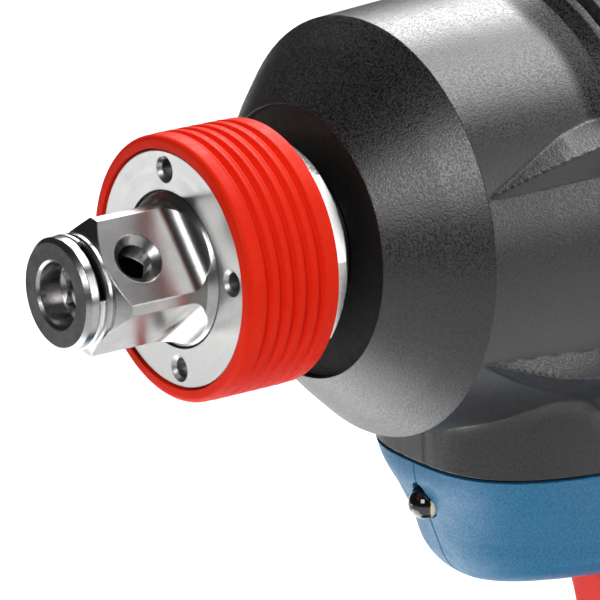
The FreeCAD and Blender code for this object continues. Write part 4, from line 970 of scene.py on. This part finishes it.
NOSE = Vector((0, -0.05, 0.2))
SOFTBOXES = (  # name, azimuth, elevation, size, power
    ("key", 40.5, 32, 0.48, 5.0), ("top", 174, 58, 0.5, 5.8), ("far_side", -142, 38, 0.4, 3.2),
    ("near_side", 130, 27, 0.42, 1.1), ("low_side", 126, 9, 0.3, 1.4))
LIGHT_TABLES = (  # name, x, y, power
    ("far_table", -0.55, -0.55, 0.9), ("near_table", -0.1, -0.13, 0.38))
TABLE_HEIGHT, TABLE_SIZE = 0.012, 0.22
CAMERA_PLACE, CAMERA_LENS = (0.4481, -0.3897, 0.3852), 300
CAMERA_AZIMUTH, CAMERA_ELEVATION = 53.38, 18.10


def lamp(name, place_at, aim, size, power):
    """Square area light that the camera doesn't see."""
    light = bpy.data.lights.new(name, "AREA")
    light.shape, light.size, light.size_y, light.energy = "RECTANGLE", size, size, power
    item = bpy.data.objects.new(name, light)
    item.location = place_at
    item.rotation_mode = "QUATERNION"
    item.rotation_quaternion = (Vector(aim) - Vector(place_at)).to_track_quat("-Z", "Y")
    item.visible_camera = False
    scene.collection.objects.link(item)


def softbox(name, azimuth, elevation, size, power):
    """Square light one metre from the nose, seen from it at an azimuth from the front."""
    turn, rise = math.radians(azimuth), math.radians(elevation)
    toward = Vector((math.sin(turn) * math.cos(rise), -math.cos(turn) * math.cos(rise),
                     math.sin(rise)))
    lamp(name, NOSE + toward, NOSE, size, power)


def make_lights():
    """Dark studio: softboxes round the tool, light tables under its nose, a lit backdrop."""
    world = bpy.data.worlds.new("studio")
    world.use_nodes = True
    sky = world.node_tree.nodes["Background"].inputs
    sky["Color"].default_value, sky["Strength"].default_value = (1, 1, 1, 1), 0.03
    scene.world = world
    for row in SOFTBOXES:
        softbox(*row)
    for name, x, y, power in LIGHT_TABLES:
        lamp(name, (x, y, TABLE_HEIGHT), (x, y, 1), TABLE_SIZE, power)
    lamp("backdrop", (-0.62, 0.38, 0.75), (-0.62, 0.38, 0), 0.6, 8.0)


def make_camera():
    """Long lens in front of the tool's left side, a little above it."""
    camera = bpy.data.cameras.new("camera")
    camera.sensor_width, camera.lens = 36, CAMERA_LENS
    camera.clip_start, camera.clip_end = 0.01, 50
    item = bpy.data.objects.new("camera", camera)
    azimuth, elevation = math.radians(CAMERA_AZIMUTH), math.radians(CAMERA_ELEVATION)
    right = Vector((math.cos(azimuth), math.sin(azimuth), 0))
    back = Vector((math.sin(azimuth) * math.cos(elevation),
                   -math.cos(azimuth) * math.cos(elevation), math.sin(elevation)))
    up = back.cross(right)
    turn = Matrix((right, up, back)).transposed()
    item.matrix_world = Matrix.Translation(CAMERA_PLACE) @ turn.to_4x4()
    scene.collection.objects.link(item)
    scene.camera = item


make_floor()
make_lights()
make_camera()
scene.view_settings.view_transform = "Standard"
